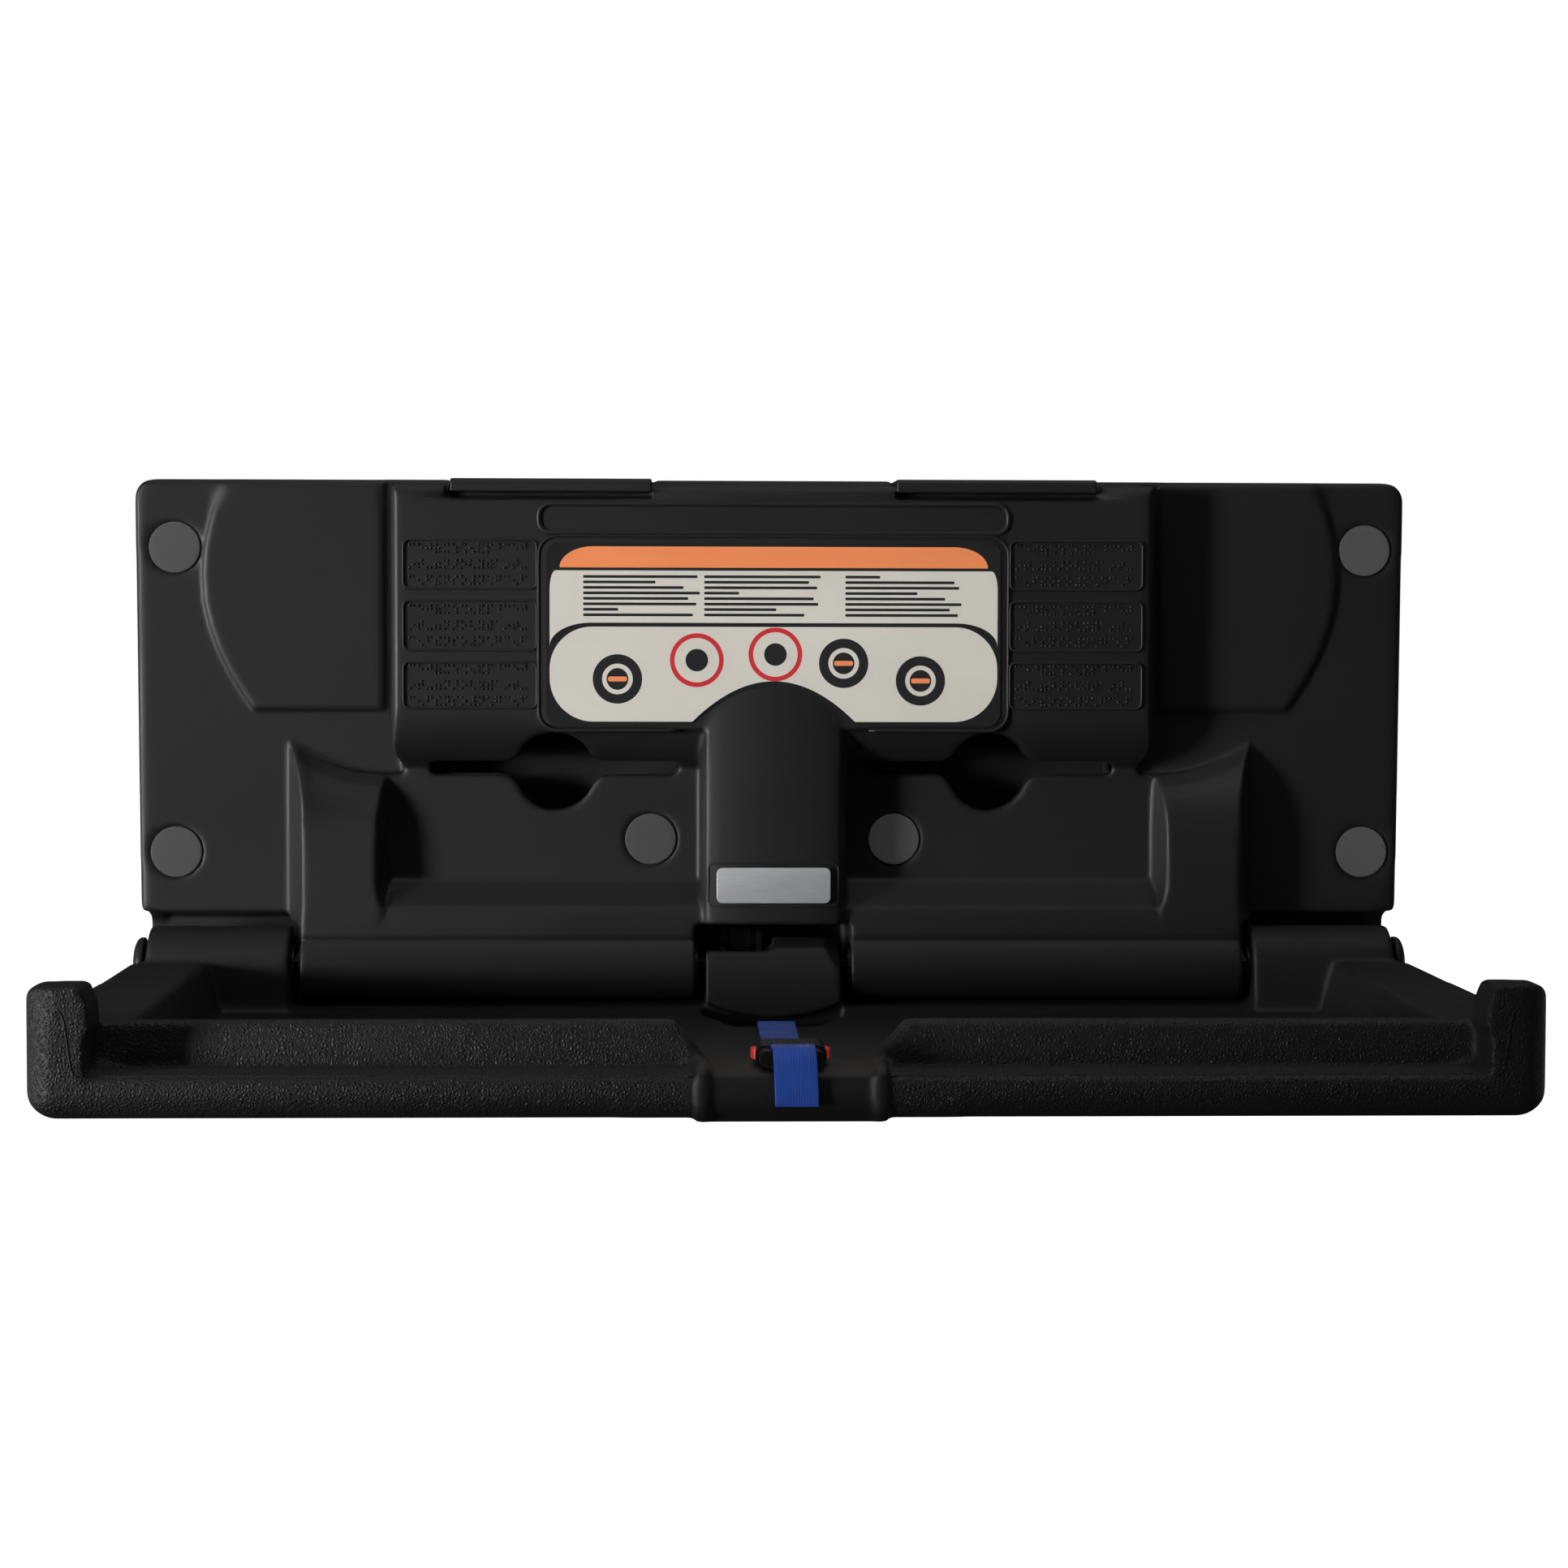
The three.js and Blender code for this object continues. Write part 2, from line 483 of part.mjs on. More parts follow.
function bedShell() {
  const b = bed;
  const plan = outline([[-b.halfRear, b.rear], [-b.halfFront, b.front, b.planCorner],
    [b.halfFront, b.front, b.planCorner], [b.halfRear, b.rear]]);
  const front = outline([[-b.halfFront, b.bottom, b.edge], [b.halfFront, b.bottom, b.edge],
    [b.halfFront, b.postTop, 9], [b.postHalf, b.postTop, 5], [b.postFoot, b.rim], [-b.postFoot, b.rim],
    [-b.postHalf, b.postTop, 5], [-b.halfFront, b.postTop, 9]]);
  const lower = alongX(outline([[b.rear, b.bottom, 14], [b.front, b.bottom, b.edge], [b.front, b.parting, 5],
    [b.band + 3, b.ledge, 6], [b.band, b.rim, 5], [b.rear, b.rim]]), -beyond, beyond);
  const posts = bothSides((side) => boxSolid(side * b.postFoot, side * beyond, b.band, b.front, b.parting - 5,
    b.postTop + 5));
  const outer = unite([lower, ...posts]).intersect(alongY(front, 0, beyond))
    .intersect(alongZ(plan, ground, b.postTop + 10));

  const floor = new THREE.SplineCurve([[92, tray.floor], [230, tray.floor - 1.6], [380, tray.floor]]
    .map((point) => new THREE.Vector2(...point))).getPoints(6).map(({ x, y }) => [x, y]);
  const hollow = alongX(outline([[0, tray.rearFloor], [tray.rear, tray.rearFloor, 8], ...floor,
    [tray.front, tray.floor, 9], [tray.frontTop, b.rim + 1], [tray.frontTop, 60], [0, 60]]), -beyond, beyond)
    .intersect(alongY(outline([[-tray.halfFloor, -36], [tray.halfFloor, -36], [tray.halfTop, b.rim],
      [tray.halfTop, 60], [-tray.halfTop, 60], [-tray.halfTop, b.rim]]), -10, beyond));

  const barrel = bothSides((side) => rodX(side * knuckle.inner, side * knuckle.outer, hinge.p, 0,
    knuckle.radius, 36));
  const saddle = bothSides((side) => alongX(outline([[b.rear, b.bottom, 14], [110, b.bottom], [110, -36],
    [86, -31], [84, -24, 3], [82.2, 1, 5], [hinge.p, 1], [b.rear, -14]]), side * knuckle.inner,
  side * knuckle.outer));
  const prowSection = outline([[b.rear, b.bottom, 14], [prow.front, b.bottom], [prow.front, -3, 5],
    [76, 13, 8], [62, prow.top, 9], [42, prow.top - 3, 9], [31, 0], [b.rear, -27]]);
  const lip = Array.from({ length: 11 }, (_, i) => {
    const across = i / 5 - 1;
    return new THREE.Vector2(prow.half * across, prow.lip - prow.drop * (1 - across ** 2));
  });
  const chin = [...lip, new THREE.Vector2(prow.half + 5, prow.lip), new THREE.Vector2(prow.half + 5, ground),
    new THREE.Vector2(-prow.half - 5, ground), new THREE.Vector2(-prow.half - 5, prow.lip)];
  const nose = cut(alongX(prowSection, -prow.half, prow.half), [
    boxSolid(-beyond, 0, 0, 100, prow.lowTop, 60),
    boxSolid(crank.far - 0.5, crank.near + 0.5, 0, 70, -14, 60),
    alongY(chin, prow.chin, beyond),
  ]).trimByPlane(prowBevel.normal, prowBevel.offset);
  const wellCut = alongZ(outline([[-well.half, prow.chin], [-well.half, well.side, 6],
    [-well.tip, well.front, 12], [well.tip, well.front, 12], [well.half, well.side, 6],
    [well.half, prow.chin]]), well.floor, 0);

  const beads = bothSides((side) => alongX(outline([[380, b.bottom], [380, b.bottom - bead.proud + 4],
    [b.band - 10, notch.floor - 4], [b.band, notch.floor + bead.proud],
    [b.front + bead.proud, notch.floor + bead.proud, 7], [b.front + bead.proud, b.bottom - bead.proud, b.edge],
    [400, b.bottom - bead.proud]]), side * bead.inner, side * bead.outer));
  const band = alongX(outline([[380, b.bottom + 4], [b.band - 10, notch.floor - 4], [b.band - 10, notch.floor],
    [b.front, notch.floor, 7], [b.front, b.bottom + 1, b.edge], [400, b.bottom + 1]]), -bead.inner, bead.inner);
  const keel = alongX(outline([[b.rear + 16, b.bottom - bead.proud, 2], [b.front - 12, b.bottom - bead.proud],
    [b.front - 12, b.bottom + 2], [b.rear + 16, b.bottom + 2]]), -bead.outer, bead.outer);
  const notchCut = alongY(outline([[-notch.halfFloor, notch.floor, 8], [notch.halfFloor, notch.floor, 8],
    [notch.halfTop, b.rim], [notch.halfTop, 60], [-notch.halfTop, 60], [-notch.halfTop, b.rim]]), 360, beyond);

  const solid = unite([cut(outer, [hollow, wellCut]), ...barrel, ...saddle, nose, keel]);
  return cut(unite([solid.subtract(notchCut), band, ...beads]), [
    rodX(-beyond, beyond, hinge.p, 0, hinge.bore),
    ...bothSides((side) => rodX(side * knuckle.outer, side * beyond, hinge.p, 0, hinge.capRadius + 2.5, 24)),
    boxSolid(-webbing.half - 0.6, webbing.half + 0.6, webbing.rearP - 2, webbing.rearP + 5,
      webbing.root - 1.5, well.floor + 1),
    boxSolid(-webbing.half, webbing.half + webbing.tailX, webbing.frontP - 2, webbing.frontP + 2, -34, -15),
  ]);
}

// Flat webbing that follows a path of [p, z] points through its middle.
function ribbon(path, x, half) {
  const places = path.map(([p, z]) => new THREE.Vector3(p, z, 0));
  const curve = new THREE.CatmullRomCurve3(places, false, 'centripetal');
  const points = curve.getSpacedPoints(path.length * 4);
  const edge = (sign) => points.map((point, i) => {
    const tangent = curve.getTangentAt(i / (points.length - 1));
    return new THREE.Vector2(point.x - (sign * tangent.y * webbing.thickness) / 2,
      point.y + (sign * tangent.x * webbing.thickness) / 2);
  });
  return alongX([...edge(-1), ...edge(1).reverse()], x - half, x + half);
}

function rearStrap() {
  const lie = tray.floor + 1.3;
  return ribbon([[webbing.rearP, webbing.root], [webbing.rearP, -38], [webbing.rearP + 3.5, -33],
    [webbing.rearP + 9, lie + 0.5], [webbing.rearP + 17, lie], [185, lie - 0.9], [230, lie - 1.2],
    [300, lie - 0.7], [380, lie + 0.6], [392, lie + 3], [398, -20], [403, -15.4], [408, -15]], 0,
  webbing.half);
}

function frontStrap() {
  return ribbon([[webbing.frontP, -32], [webbing.frontP, -14], [webbing.frontP + 3, -8.3], [452, -7.9],
    [459, -9.5], [462.6, -16], [462.9, -28], [463.2, -41.5]], webbing.tailX / 2, webbing.half);
}

function buckleSocket() {
  const { half, back, split, low, high, wall, bar } = buckle;
  const front = outline([[-half, low, 5], [half, low, 5], [half, high, 5], [-half, high, 5]]);
  const body = alongY(front, back, split);
  return cut(body, [
    boxSolid(-half + 3.5, half - 3.5, bar + 3, split + 2, low + wall, high - wall),
    boxSolid(-webbing.half - 0.6, webbing.half + 0.6, back - 1, bar, -16.6, -13.4),
    ...bothSides((side) => boxSolid(side * (half - 6), side * (half + 6), window.back, window.front, low + wall,
      high - wall)),
  ]);
}

function buckleTongue() {
  const { split, front, low, high } = buckle;
  const half = buckle.half - 2;
  const loop = alongY(outline([[-half, low + 1, 4], [half, low + 1, 4], [half, high - 1, 4],
    [-half, high - 1, 4]]), split + gap, front);
  const guide = boxSolid(-4, 4, window.back + 2, split + 2, low + 3, high - 3);
  return loop.add(guide).subtract(boxSolid(-webbing.half - 1, webbing.half + 1.6, webbing.frontP - 2.2,
    webbing.frontP + 4, -30, 0));
}

function releaseTab(side) {
  const plan = outline([[side * 13, window.back + 1], [side * 22.5, window.back + 3, 3], [side * 23.6, 424, 3],
    [side * 22, window.front - 1, 2], [side * 13, window.front - 0.5]]);
  return alongZ(plan, buckle.low + buckle.wall + 0.4, buckle.high - buckle.wall - 0.4);
}

// Assembly

const finish = (color, roughness, metalness = 0) => (
  new THREE.MeshStandardMaterial({ color, roughness, metalness }));
const blackPlastic = finish(0x262728, 0.55);
const steel = finish(0x8c8f92, 0.4, 0.9);
const greyPlastic = finish(0x55565a, 0.6);
const blackPaint = finish(0x1b1b1c, 0.35, 0.3);

const station = new THREE.Group();

function addPiece(name, solid, material) {
  const { vertProperties, triVerts } = solid.getMesh();
  const geometry = new THREE.BufferGeometry();
  geometry.setAttribute('position', new THREE.BufferAttribute(new Float32Array(vertProperties), 3));
  geometry.setIndex(new THREE.BufferAttribute(new Uint32Array(triVerts), 1));
  const faceted = geometry.toNonIndexed();
  faceted.computeVertexNormals();
  const mesh = new THREE.Mesh(faceted, material.clone());
  mesh.name = name;
  station.add(mesh);
}

const sideName = (side) => (side < 0 ? 'left' : 'right');

addPiece('back_panel', backPanelForm(), steel);
addPiece('wall_shell', wallShell(), blackPlastic);
screws.forEach((screw, i) => bothSides((side) => addPiece(
  `screw_cap_${['top', 'bottom', 'middle'][i]}_${sideName(side)}`, screwCap(screw, side), greyPlastic)));
addPiece('label_sheet', labelSheet(), finish(0xd8d2c6, 0.5));
addPiece('column_plate', columnPlate(), finish(0xb9bbbd, 0.4));
bothSides((side) => addPiece(`liner_bin_${sideName(side)}`, linerBin(side), blackPlastic));
bothSides((side) => addPiece(`lid_${sideName(side)}`, lidCover(side), blackPlastic));
bothSides((side) => addPiece(`lid_pin_${sideName(side)}`,
  rodX(side * (lid.near - 5), side * (lid.far + 5), lid.pinP, lid.pinZ, lid.pin, 12), steel));
addPiece('hinge_rod', rodX(-hinge.rodHalf + gap, hinge.rodHalf - gap, hinge.p, 0, hinge.rod), steel);
bothSides((side) => addPiece(`hinge_cap_${sideName(side)}`, hingeCap(side), blackPlastic));
const bushings = [
  ['wall_bushing_inner', roll.inner - gap, 1], ['wall_bushing_outer', roll.outer + gap, -1],
  ['bed_bushing_inner', knuckle.inner - gap, 1], ['bed_bushing_outer', knuckle.outer + gap, -1],
];
bushings.forEach(([name, x, towards]) => bothSides((side) => addPiece(
  `${name}_${sideName(side)}`, bushing(side * x, side * towards), blackPlastic)));
addPiece('spring_bracket', springBracket(), blackPaint);
addPiece('spring_pin', rodX(spring.x - 10.5, spring.x + 10.5, spring.p, spring.eyeZ, spring.pin), steel);
addPiece('spring_cylinder', springCylinder(), blackPaint);
addPiece('spring_rod', springRod(), finish(0xc6c9cc, 0.15, 1));
addPiece('rod_yoke', rodYoke(), blackPaint);
addPiece('bed_shell', bedShell(), blackPlastic);
addPiece('crank_cheek_left', crankCheek(crank.far, crank.far + crank.thickness), blackPaint);
addPiece('crank_cheek_right', crankCheek(crank.near - crank.thickness, crank.near), blackPaint);
addPiece('crank_pin', rodX(crank.far + 0.1, crank.near - 0.1, spring.p, crank.pinZ, spring.pin), steel);
addPiece('strap_rear', rearStrap(), finish(0x1d479c, 0.7));
addPiece('strap_front', frontStrap(), finish(0x1d479c, 0.7));
addPiece('buckle_socket', buckleSocket(), blackPlastic);
addPiece('buckle_tongue', buckleTongue(), blackPlastic);
bothSides((side) => addPiece(`release_tab_${sideName(side)}`, releaseTab(side), finish(0xb02020, 0.45)));

export default station;
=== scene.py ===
# Wall-mounted baby changing station, folded down: moulded skins, printed panel, webbing and metalwork
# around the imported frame. Shapes are given in mm as x, z and p, the distance out from the wall (y = -p).
import math

import bmesh
import bpy
from mathutils import Matrix, Vector
from mathutils.bvhtree import BVHTree


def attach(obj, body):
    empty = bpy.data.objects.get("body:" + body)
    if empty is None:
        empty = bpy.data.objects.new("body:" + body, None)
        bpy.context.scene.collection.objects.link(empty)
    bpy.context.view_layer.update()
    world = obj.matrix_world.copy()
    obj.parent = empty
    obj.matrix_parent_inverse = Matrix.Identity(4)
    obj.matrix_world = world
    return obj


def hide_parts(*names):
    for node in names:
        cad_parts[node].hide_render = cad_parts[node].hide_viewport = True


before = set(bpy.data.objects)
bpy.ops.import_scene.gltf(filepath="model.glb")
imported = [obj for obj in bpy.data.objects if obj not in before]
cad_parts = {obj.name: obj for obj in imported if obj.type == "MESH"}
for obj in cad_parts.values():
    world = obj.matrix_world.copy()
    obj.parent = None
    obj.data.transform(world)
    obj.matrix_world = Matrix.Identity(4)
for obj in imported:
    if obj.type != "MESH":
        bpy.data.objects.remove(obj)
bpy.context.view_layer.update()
scene = bpy.context.scene
scene.view_settings.view_transform = "Standard"
mm = 0.001

camera = {
    "place": (-0.07122, -2.48192, 0.24808),
    "lens": 80.272,     # mm, for a 36 mm wide sensor
    "turn": 0.032576,   # radians towards +X
    "tilt": -0.05035,
    "roll": 0.002477,
}

lamps = {
    # a grid on the left soft box keeps its light narrow, so that it falls off to the right
    "keyLamp": {"place": (-2.9, -1.75, 0.1), "aim": (-0.2, -0.05, 0.03), "size": (0.8, 1.4), "power": 3.4,
                "spread": 22},
    "topLamp": {"place": (0.1, -0.9, 2.3), "aim": (0.0, -0.15, 0.1), "size": (1.6, 0.5), "power": 5,
                "spread": 180},
}


def makeCamera():
    turn, tilt, roll = camera["turn"], camera["tilt"], camera["roll"]
    ahead = Vector((math.sin(turn) * math.cos(tilt), math.cos(turn) * math.cos(tilt), math.sin(tilt)))
    right = Vector((math.cos(turn), -math.sin(turn), 0))
    up = right.cross(ahead)
    leanRight = right * math.cos(roll) + up * math.sin(roll)
    leanUp = up * math.cos(roll) - right * math.sin(roll)
    data = bpy.data.cameras.new("camera")
    data.sensor_width = 36
    data.lens = camera["lens"]
    data.clip_start, data.clip_end = 0.05, 60
    eye = bpy.data.objects.new("camera", data)
    scene.collection.objects.link(eye)
    facing = Matrix((leanRight, leanUp, -ahead)).transposed().to_4x4()
    eye.matrix_world = Matrix.Translation(camera["place"]) @ facing
    scene.camera = eye


def makeLamp(name, settings):
    data = bpy.data.lights.new(name, "AREA")
    data.shape = "RECTANGLE"
    data.size, data.size_y = settings["size"]
    data.energy = settings["power"]
    data.spread = math.radians(settings["spread"])
    lamp = bpy.data.objects.new(name, data)
    scene.collection.objects.link(lamp)
    lamp.location = settings["place"]
    towards = Vector(settings["aim"]) - Vector(settings["place"])
    lamp.rotation_euler = towards.to_track_quat("-Z", "Y").to_euler()


makeCamera()
for lampName, lampSettings in lamps.items():
    makeLamp(lampName, lampSettings)
print("camera and lamps placed")


# Node helpers

def plainMaterial(name, color, roughness, **sockets):
    material = bpy.data.materials.new(name)
    material.use_nodes = True
    shader = material.node_tree.nodes["Principled BSDF"]
    shader.inputs["Base Color"].default_value = (*color, 1)
    shader.inputs["Roughness"].default_value = roughness
    for socket, value in sockets.items():
        shader.inputs[socket].default_value = value
    return material


def addNode(owner, kind, links=(), values=(), **settings):
    # owner is a material or the world
    made = owner.node_tree.nodes.new(kind)
    for key, value in settings.items():
        setattr(made, key, value)
    for socket, value in dict(values).items():
        made.inputs[socket].default_value = value
    for socket, source in dict(links).items():
        owner.node_tree.links.new(source, made.inputs[socket])
    return made


def shaderOf(material):
    return material.node_tree.nodes["Principled BSDF"]


def feed(material, socket, source):
    material.node_tree.links.new(source, shaderOf(material).inputs[socket])


def objectPlace(material):
    return addNode(material, "ShaderNodeTexCoord").outputs["Object"]


def noiseAt(material, place, scale, detail=2.0, stretch=None):
    if stretch:
        place = addNode(material, "ShaderNodeMapping", {"Vector": place}, {"Scale": stretch}).outputs[0]
    return addNode(material, "ShaderNodeTexNoise", {"Vector": place}, {"Scale": scale, "Detail": detail})


def mapped(owner, value, low, high, start=0.3, end=0.7):
    return addNode(owner, "ShaderNodeMapRange", {"Value": value},
                   {"From Min": start, "From Max": end, "To Min": low, "To Max": high}).outputs["Result"]


def step(owner, value, start, end):
    return mapped(owner, value, 0, 1, start, end)


def mathNode(owner, operation, a, b):
    links, values = {}, {}
    for index, item in enumerate((a, b)):
        (values if isinstance(item, (int, float)) else links)[index] = item
    return addNode(owner, "ShaderNodeMath", links, values, operation=operation).outputs[0]


def blendColors(material, share, dark, pale):
    mixed = addNode(material, "ShaderNodeMix", {"Factor": share}, {"A": (*dark, 1), "B": (*pale, 1)},
                    data_type="RGBA")
    feed(material, "Base Color", mixed.outputs["Result"])


def mottle(material, place, color, change, scale):
    # the colour drifts a little either side of the written one
    drift = noiseAt(material, place, scale, 3).outputs["Fac"]
    dark = [channel * (1 - change) for channel in color]
    pale = [channel * (1 + change) for channel in color]
    blendColors(material, mapped(material, drift, 0, 1), dark, pale)


def unevenGloss(material, place, low, high, scale):
    rough = noiseAt(material, place, scale, 4).outputs["Fac"]
    feed(material, "Roughness", mapped(material, rough, low, high))


def bumpFrom(material, height, depth, strength=1.0):
    bump = addNode(material, "ShaderNodeBump", {"Height": height}, {"Strength": strength, "Distance": depth})
    feed(material, "Normal", bump.outputs["Normal"])


# Finishes

# gloss is the least and the most roughness, texture the surface's fineness and textureDepth its height in m
wallPlastic = {
    "color": (0.0020, 0.0021, 0.0022), "gloss": (0.56, 0.64), "texture": 620, "textureDepth": 0.00008,
    "skin": 0.04, "skinGloss": 0.24,
}
satin = {"drift": 0.10, "driftScale": 7, "patchScale": 11, "swell": 3.0, "swellScale": 26, "bump": 0.6}


def satinPlastic(name, settings, specular=0.85):
    material = plainMaterial(name, settings["color"], 0.45, **{"Specular IOR Level": specular})
    place = objectPlace(material)
    mottle(material, place, settings["color"], satin["drift"], satin["driftScale"])
    unevenGloss(material, place, *settings["gloss"], satin["patchScale"])
    fine = noiseAt(material, place, settings["texture"], 2).outputs["Fac"]
    swell = noiseAt(material, place, satin["swellScale"], 2).outputs["Fac"]
    height = mathNode(material, "ADD", fine, mathNode(material, "MULTIPLY", swell, satin["swell"]))
    bumpFrom(material, height, settings["textureDepth"], satin["bump"])
    # moulded plastic has a thin glossier skin, which draws the bright lines along its edges
    shader = shaderOf(material)
    shader.inputs["Coat Weight"].default_value = settings.get("skin", 0)
    shader.inputs["Coat Roughness"].default_value = settings.get("skinGloss", 0.3)
    return material


bedPlastic = {
    "color": (0.0020, 0.0021, 0.0022), "gloss": (0.56, 0.64), "patchScale": 14,
    "cells": 450, "grainDepth": 0.00055, "pillow": 0.55, "wander": 0.0022, "wanderScale": 0.55,
    "broad": 0.9, "broadScale": 0.3, "fine": 900, "fineShare": 0.07,
    "frontFrom": 0.405, "sideFrom": 0.430, "underFrom": 0.036, "fade": 0.006,   # where the grain starts
    "bandHalf": 0.058, "bandFade": 0.003,       # the middle band stays smooth
}


def grainedPlastic(name, settings):
    material = plainMaterial(name, settings["color"], 0.45, **{"Specular IOR Level": 0.85})
    place = objectPlace(material)
    mottle(material, place, settings["color"], satin["drift"], satin["driftScale"])
    unevenGloss(material, place, *settings["gloss"], settings["patchScale"])
    split = addNode(material, "ShaderNodeSeparateXYZ", {"Vector": place})

    def beyond(value, key, fade):
        return step(material, value, settings[key], settings[key] + settings[fade])

    x = mathNode(material, "ABSOLUTE", split.outputs["X"], 0)
    front = beyond(mathNode(material, "MULTIPLY", split.outputs["Y"], -1), "frontFrom", "fade")
    side = beyond(x, "sideFrom", "fade")
    under = beyond(mathNode(material, "MULTIPLY", split.outputs["Z"], -1), "underFrom", "fade")
    offBand = beyond(x, "bandHalf", "bandFade")
    outside = mathNode(material, "MAXIMUM", front, mathNode(material, "MAXIMUM", side, under))
    grained = mathNode(material, "MULTIPLY", offBand, outside)

    # the grain's cells are pushed about, so that none is regular
    wander = noiseAt(material, place, settings["cells"] * settings["wanderScale"], 1).outputs["Color"]
    pushed = addNode(material, "ShaderNodeVectorMath", {0: wander}, {1: (0.5, 0.5, 0.5)},
                     operation="SUBTRACT")
    pushed = addNode(material, "ShaderNodeVectorMath", {0: pushed.outputs[0]}, {"Scale": settings["wander"]},
                     operation="SCALE")
    pushed = addNode(material, "ShaderNodeVectorMath", {0: place, 1: pushed.outputs[0]}, operation="ADD")
    cells = addNode(material, "ShaderNodeTexVoronoi", {"Vector": pushed.outputs[0]},
                    {"Scale": settings["cells"]}, feature="DISTANCE_TO_EDGE")
    pillow = addNode(material, "ShaderNodeMapRange", {"Value": cells.outputs["Distance"]},
                     {"From Max": settings["pillow"]}, interpolation_type="SMOOTHSTEP")
    broad = noiseAt(material, place, settings["cells"] * settings["broadScale"], 2).outputs["Fac"]
    grain = mathNode(material, "ADD", pillow.outputs["Result"],
                     mathNode(material, "MULTIPLY", broad, settings["broad"]))
    fine = noiseAt(material, place, settings["fine"], 2).outputs["Fac"]
    fine = mathNode(material, "MULTIPLY", fine, settings["fineShare"])
    bumpFrom(material, mathNode(material, "ADD", mathNode(material, "MULTIPLY", grain, grained), fine),
             settings["grainDepth"], 1.0)
    return material


blackWall = satinPlastic("wall moulding black", wallPlastic)
blackBed = grainedPlastic("bed moulding black", bedPlastic)

smallPlastics = {
    "buckle": {"color": (0.005, 0.005, 0.0053), "gloss": (0.30, 0.42), "texture": 2200,
               "textureDepth": 0.00001},
    "cap": {"color": (0.082, 0.082, 0.084), "gloss": (0.42, 0.55), "texture": 1300, "textureDepth": 0.00003},
    "nylon": {"color": (0.012, 0.012, 0.0125), "gloss": (0.40, 0.5), "texture": 1500, "textureDepth": 0.00001},
    "tab": {"color": (0.78, 0.035, 0.03), "gloss": (0.25, 0.35), "texture": 1800, "textureDepth": 0.00001},
}
blackBuckle = satinPlastic("buckle black", smallPlastics["buckle"], specular=0.3)
capGrey = satinPlastic("cap grey", smallPlastics["cap"], specular=0.2)
nylon = satinPlastic("bushing nylon", smallPlastics["nylon"], specular=0.4)
tabRed = satinPlastic("release tab red", smallPlastics["tab"], specular=0.5)

# patches and fine are how many times finer than the drift the gloss and the surface are
metals = {"drift": 0.12, "patches": 2, "fine": 12, "textureDepth": 0.00002}


def metal(name, color, gloss, scale, metallic=1.0):
    material = plainMaterial(name, color, gloss[0], Metallic=metallic)
    place = objectPlace(material)
    mottle(material, place, color, metals["drift"], scale)
    unevenGloss(material, place, *gloss, scale * metals["patches"])
    fine = noiseAt(material, place, scale * metals["fine"], 3).outputs["Fac"]
    bumpFrom(material, fine, metals["textureDepth"], 0.5)
    return material


zincSteel = metal("zinc plated steel", (0.46, 0.47, 0.48), (0.30, 0.46), 60)
chromeRod = metal("rod chrome", (0.78, 0.79, 0.81), (0.08, 0.14), 200)
cylinderPaint = metal("cylinder paint", (0.013, 0.013, 0.014), (0.28, 0.4), 150, metallic=0.0)
darkSteel = metal("blackened steel", (0.045, 0.045, 0.047), (0.38, 0.5), 90)

zincSheet = {
    "color": (0.40, 0.41, 0.42), "dark": (0.33, 0.34, 0.35), "pale": (0.50, 0.51, 0.52), "spangle": 95,
    "gloss": (0.34, 0.55), "texture": 420, "textureDepth": 0.00003,
}


def galvanised(name):
    material = plainMaterial(name, zincSheet["color"], 0.42, Metallic=1.0)
    place = objectPlace(material)
    spangle = addNode(material, "ShaderNodeTexVoronoi", {"Vector": place},
                      {"Scale": zincSheet["spangle"], "Randomness": 1.0})
    shade = addNode(material, "ShaderNodeSeparateColor", {"Color": spangle.outputs["Color"]})
    blendColors(material, shade.outputs[0], zincSheet["dark"], zincSheet["pale"])
    feed(material, "Roughness", mapped(material, shade.outputs[1], *zincSheet["gloss"], 0, 1))
    fine = noiseAt(material, place, zincSheet["texture"], 3).outputs["Fac"]
    bumpFrom(material, fine, zincSheet["textureDepth"], 0.5)
    return material


spangledSteel = galvanised("galvanised sheet")

vinyl = {"drift": 0.03, "driftScale": 14, "gloss": (0.33, 0.44), "patchScale": 30, "texture": 180,
         "textureDepth": 0.00004}


def printedVinyl(name, color):
    material = plainMaterial(name, color, 0.38, **{"Specular IOR Level": 0.25})
    place = objectPlace(material)
    mottle(material, place, color, vinyl["drift"], vinyl["driftScale"])
    unevenGloss(material, place, *vinyl["gloss"], vinyl["patchScale"])
    fine = noiseAt(material, place, vinyl["texture"], 3).outputs["Fac"]
    bumpFrom(material, fine, vinyl["textureDepth"], 0.4)
    return material


inks = {
    "black": printedVinyl("label black", (0.017, 0.0175, 0.018)),
    "cream": printedVinyl("label cream", (0.66, 0.63, 0.56)),
    "orange": printedVinyl("label orange", (0.88, 0.27, 0.10)),
    "red": printedVinyl("label red", (0.62, 0.03, 0.035)),
    "dark": printedVinyl("label print", (0.022, 0.022, 0.024)),
}

bareSheet = {
    "color": (0.56, 0.58, 0.59), "dark": (0.50, 0.52, 0.53), "pale": (0.62, 0.64, 0.65), "gloss": 0.36,
    "metallic": 0.35, "strokeScale": 40, "stretch": (1.5, 1.5, 60), "strokeDepth": 0.00002,
}


def brushedPlate(name):
    material = plainMaterial(name, bareSheet["color"], bareSheet["gloss"], Metallic=bareSheet["metallic"])
    place = objectPlace(material)
    strokes = noiseAt(material, place, bareSheet["strokeScale"], 4, bareSheet["stretch"]).outputs["Fac"]
    blendColors(material, mapped(material, strokes, 0, 1), bareSheet["dark"], bareSheet["pale"])
    bumpFrom(material, strokes, bareSheet["strokeDepth"], 0.5)
    return material


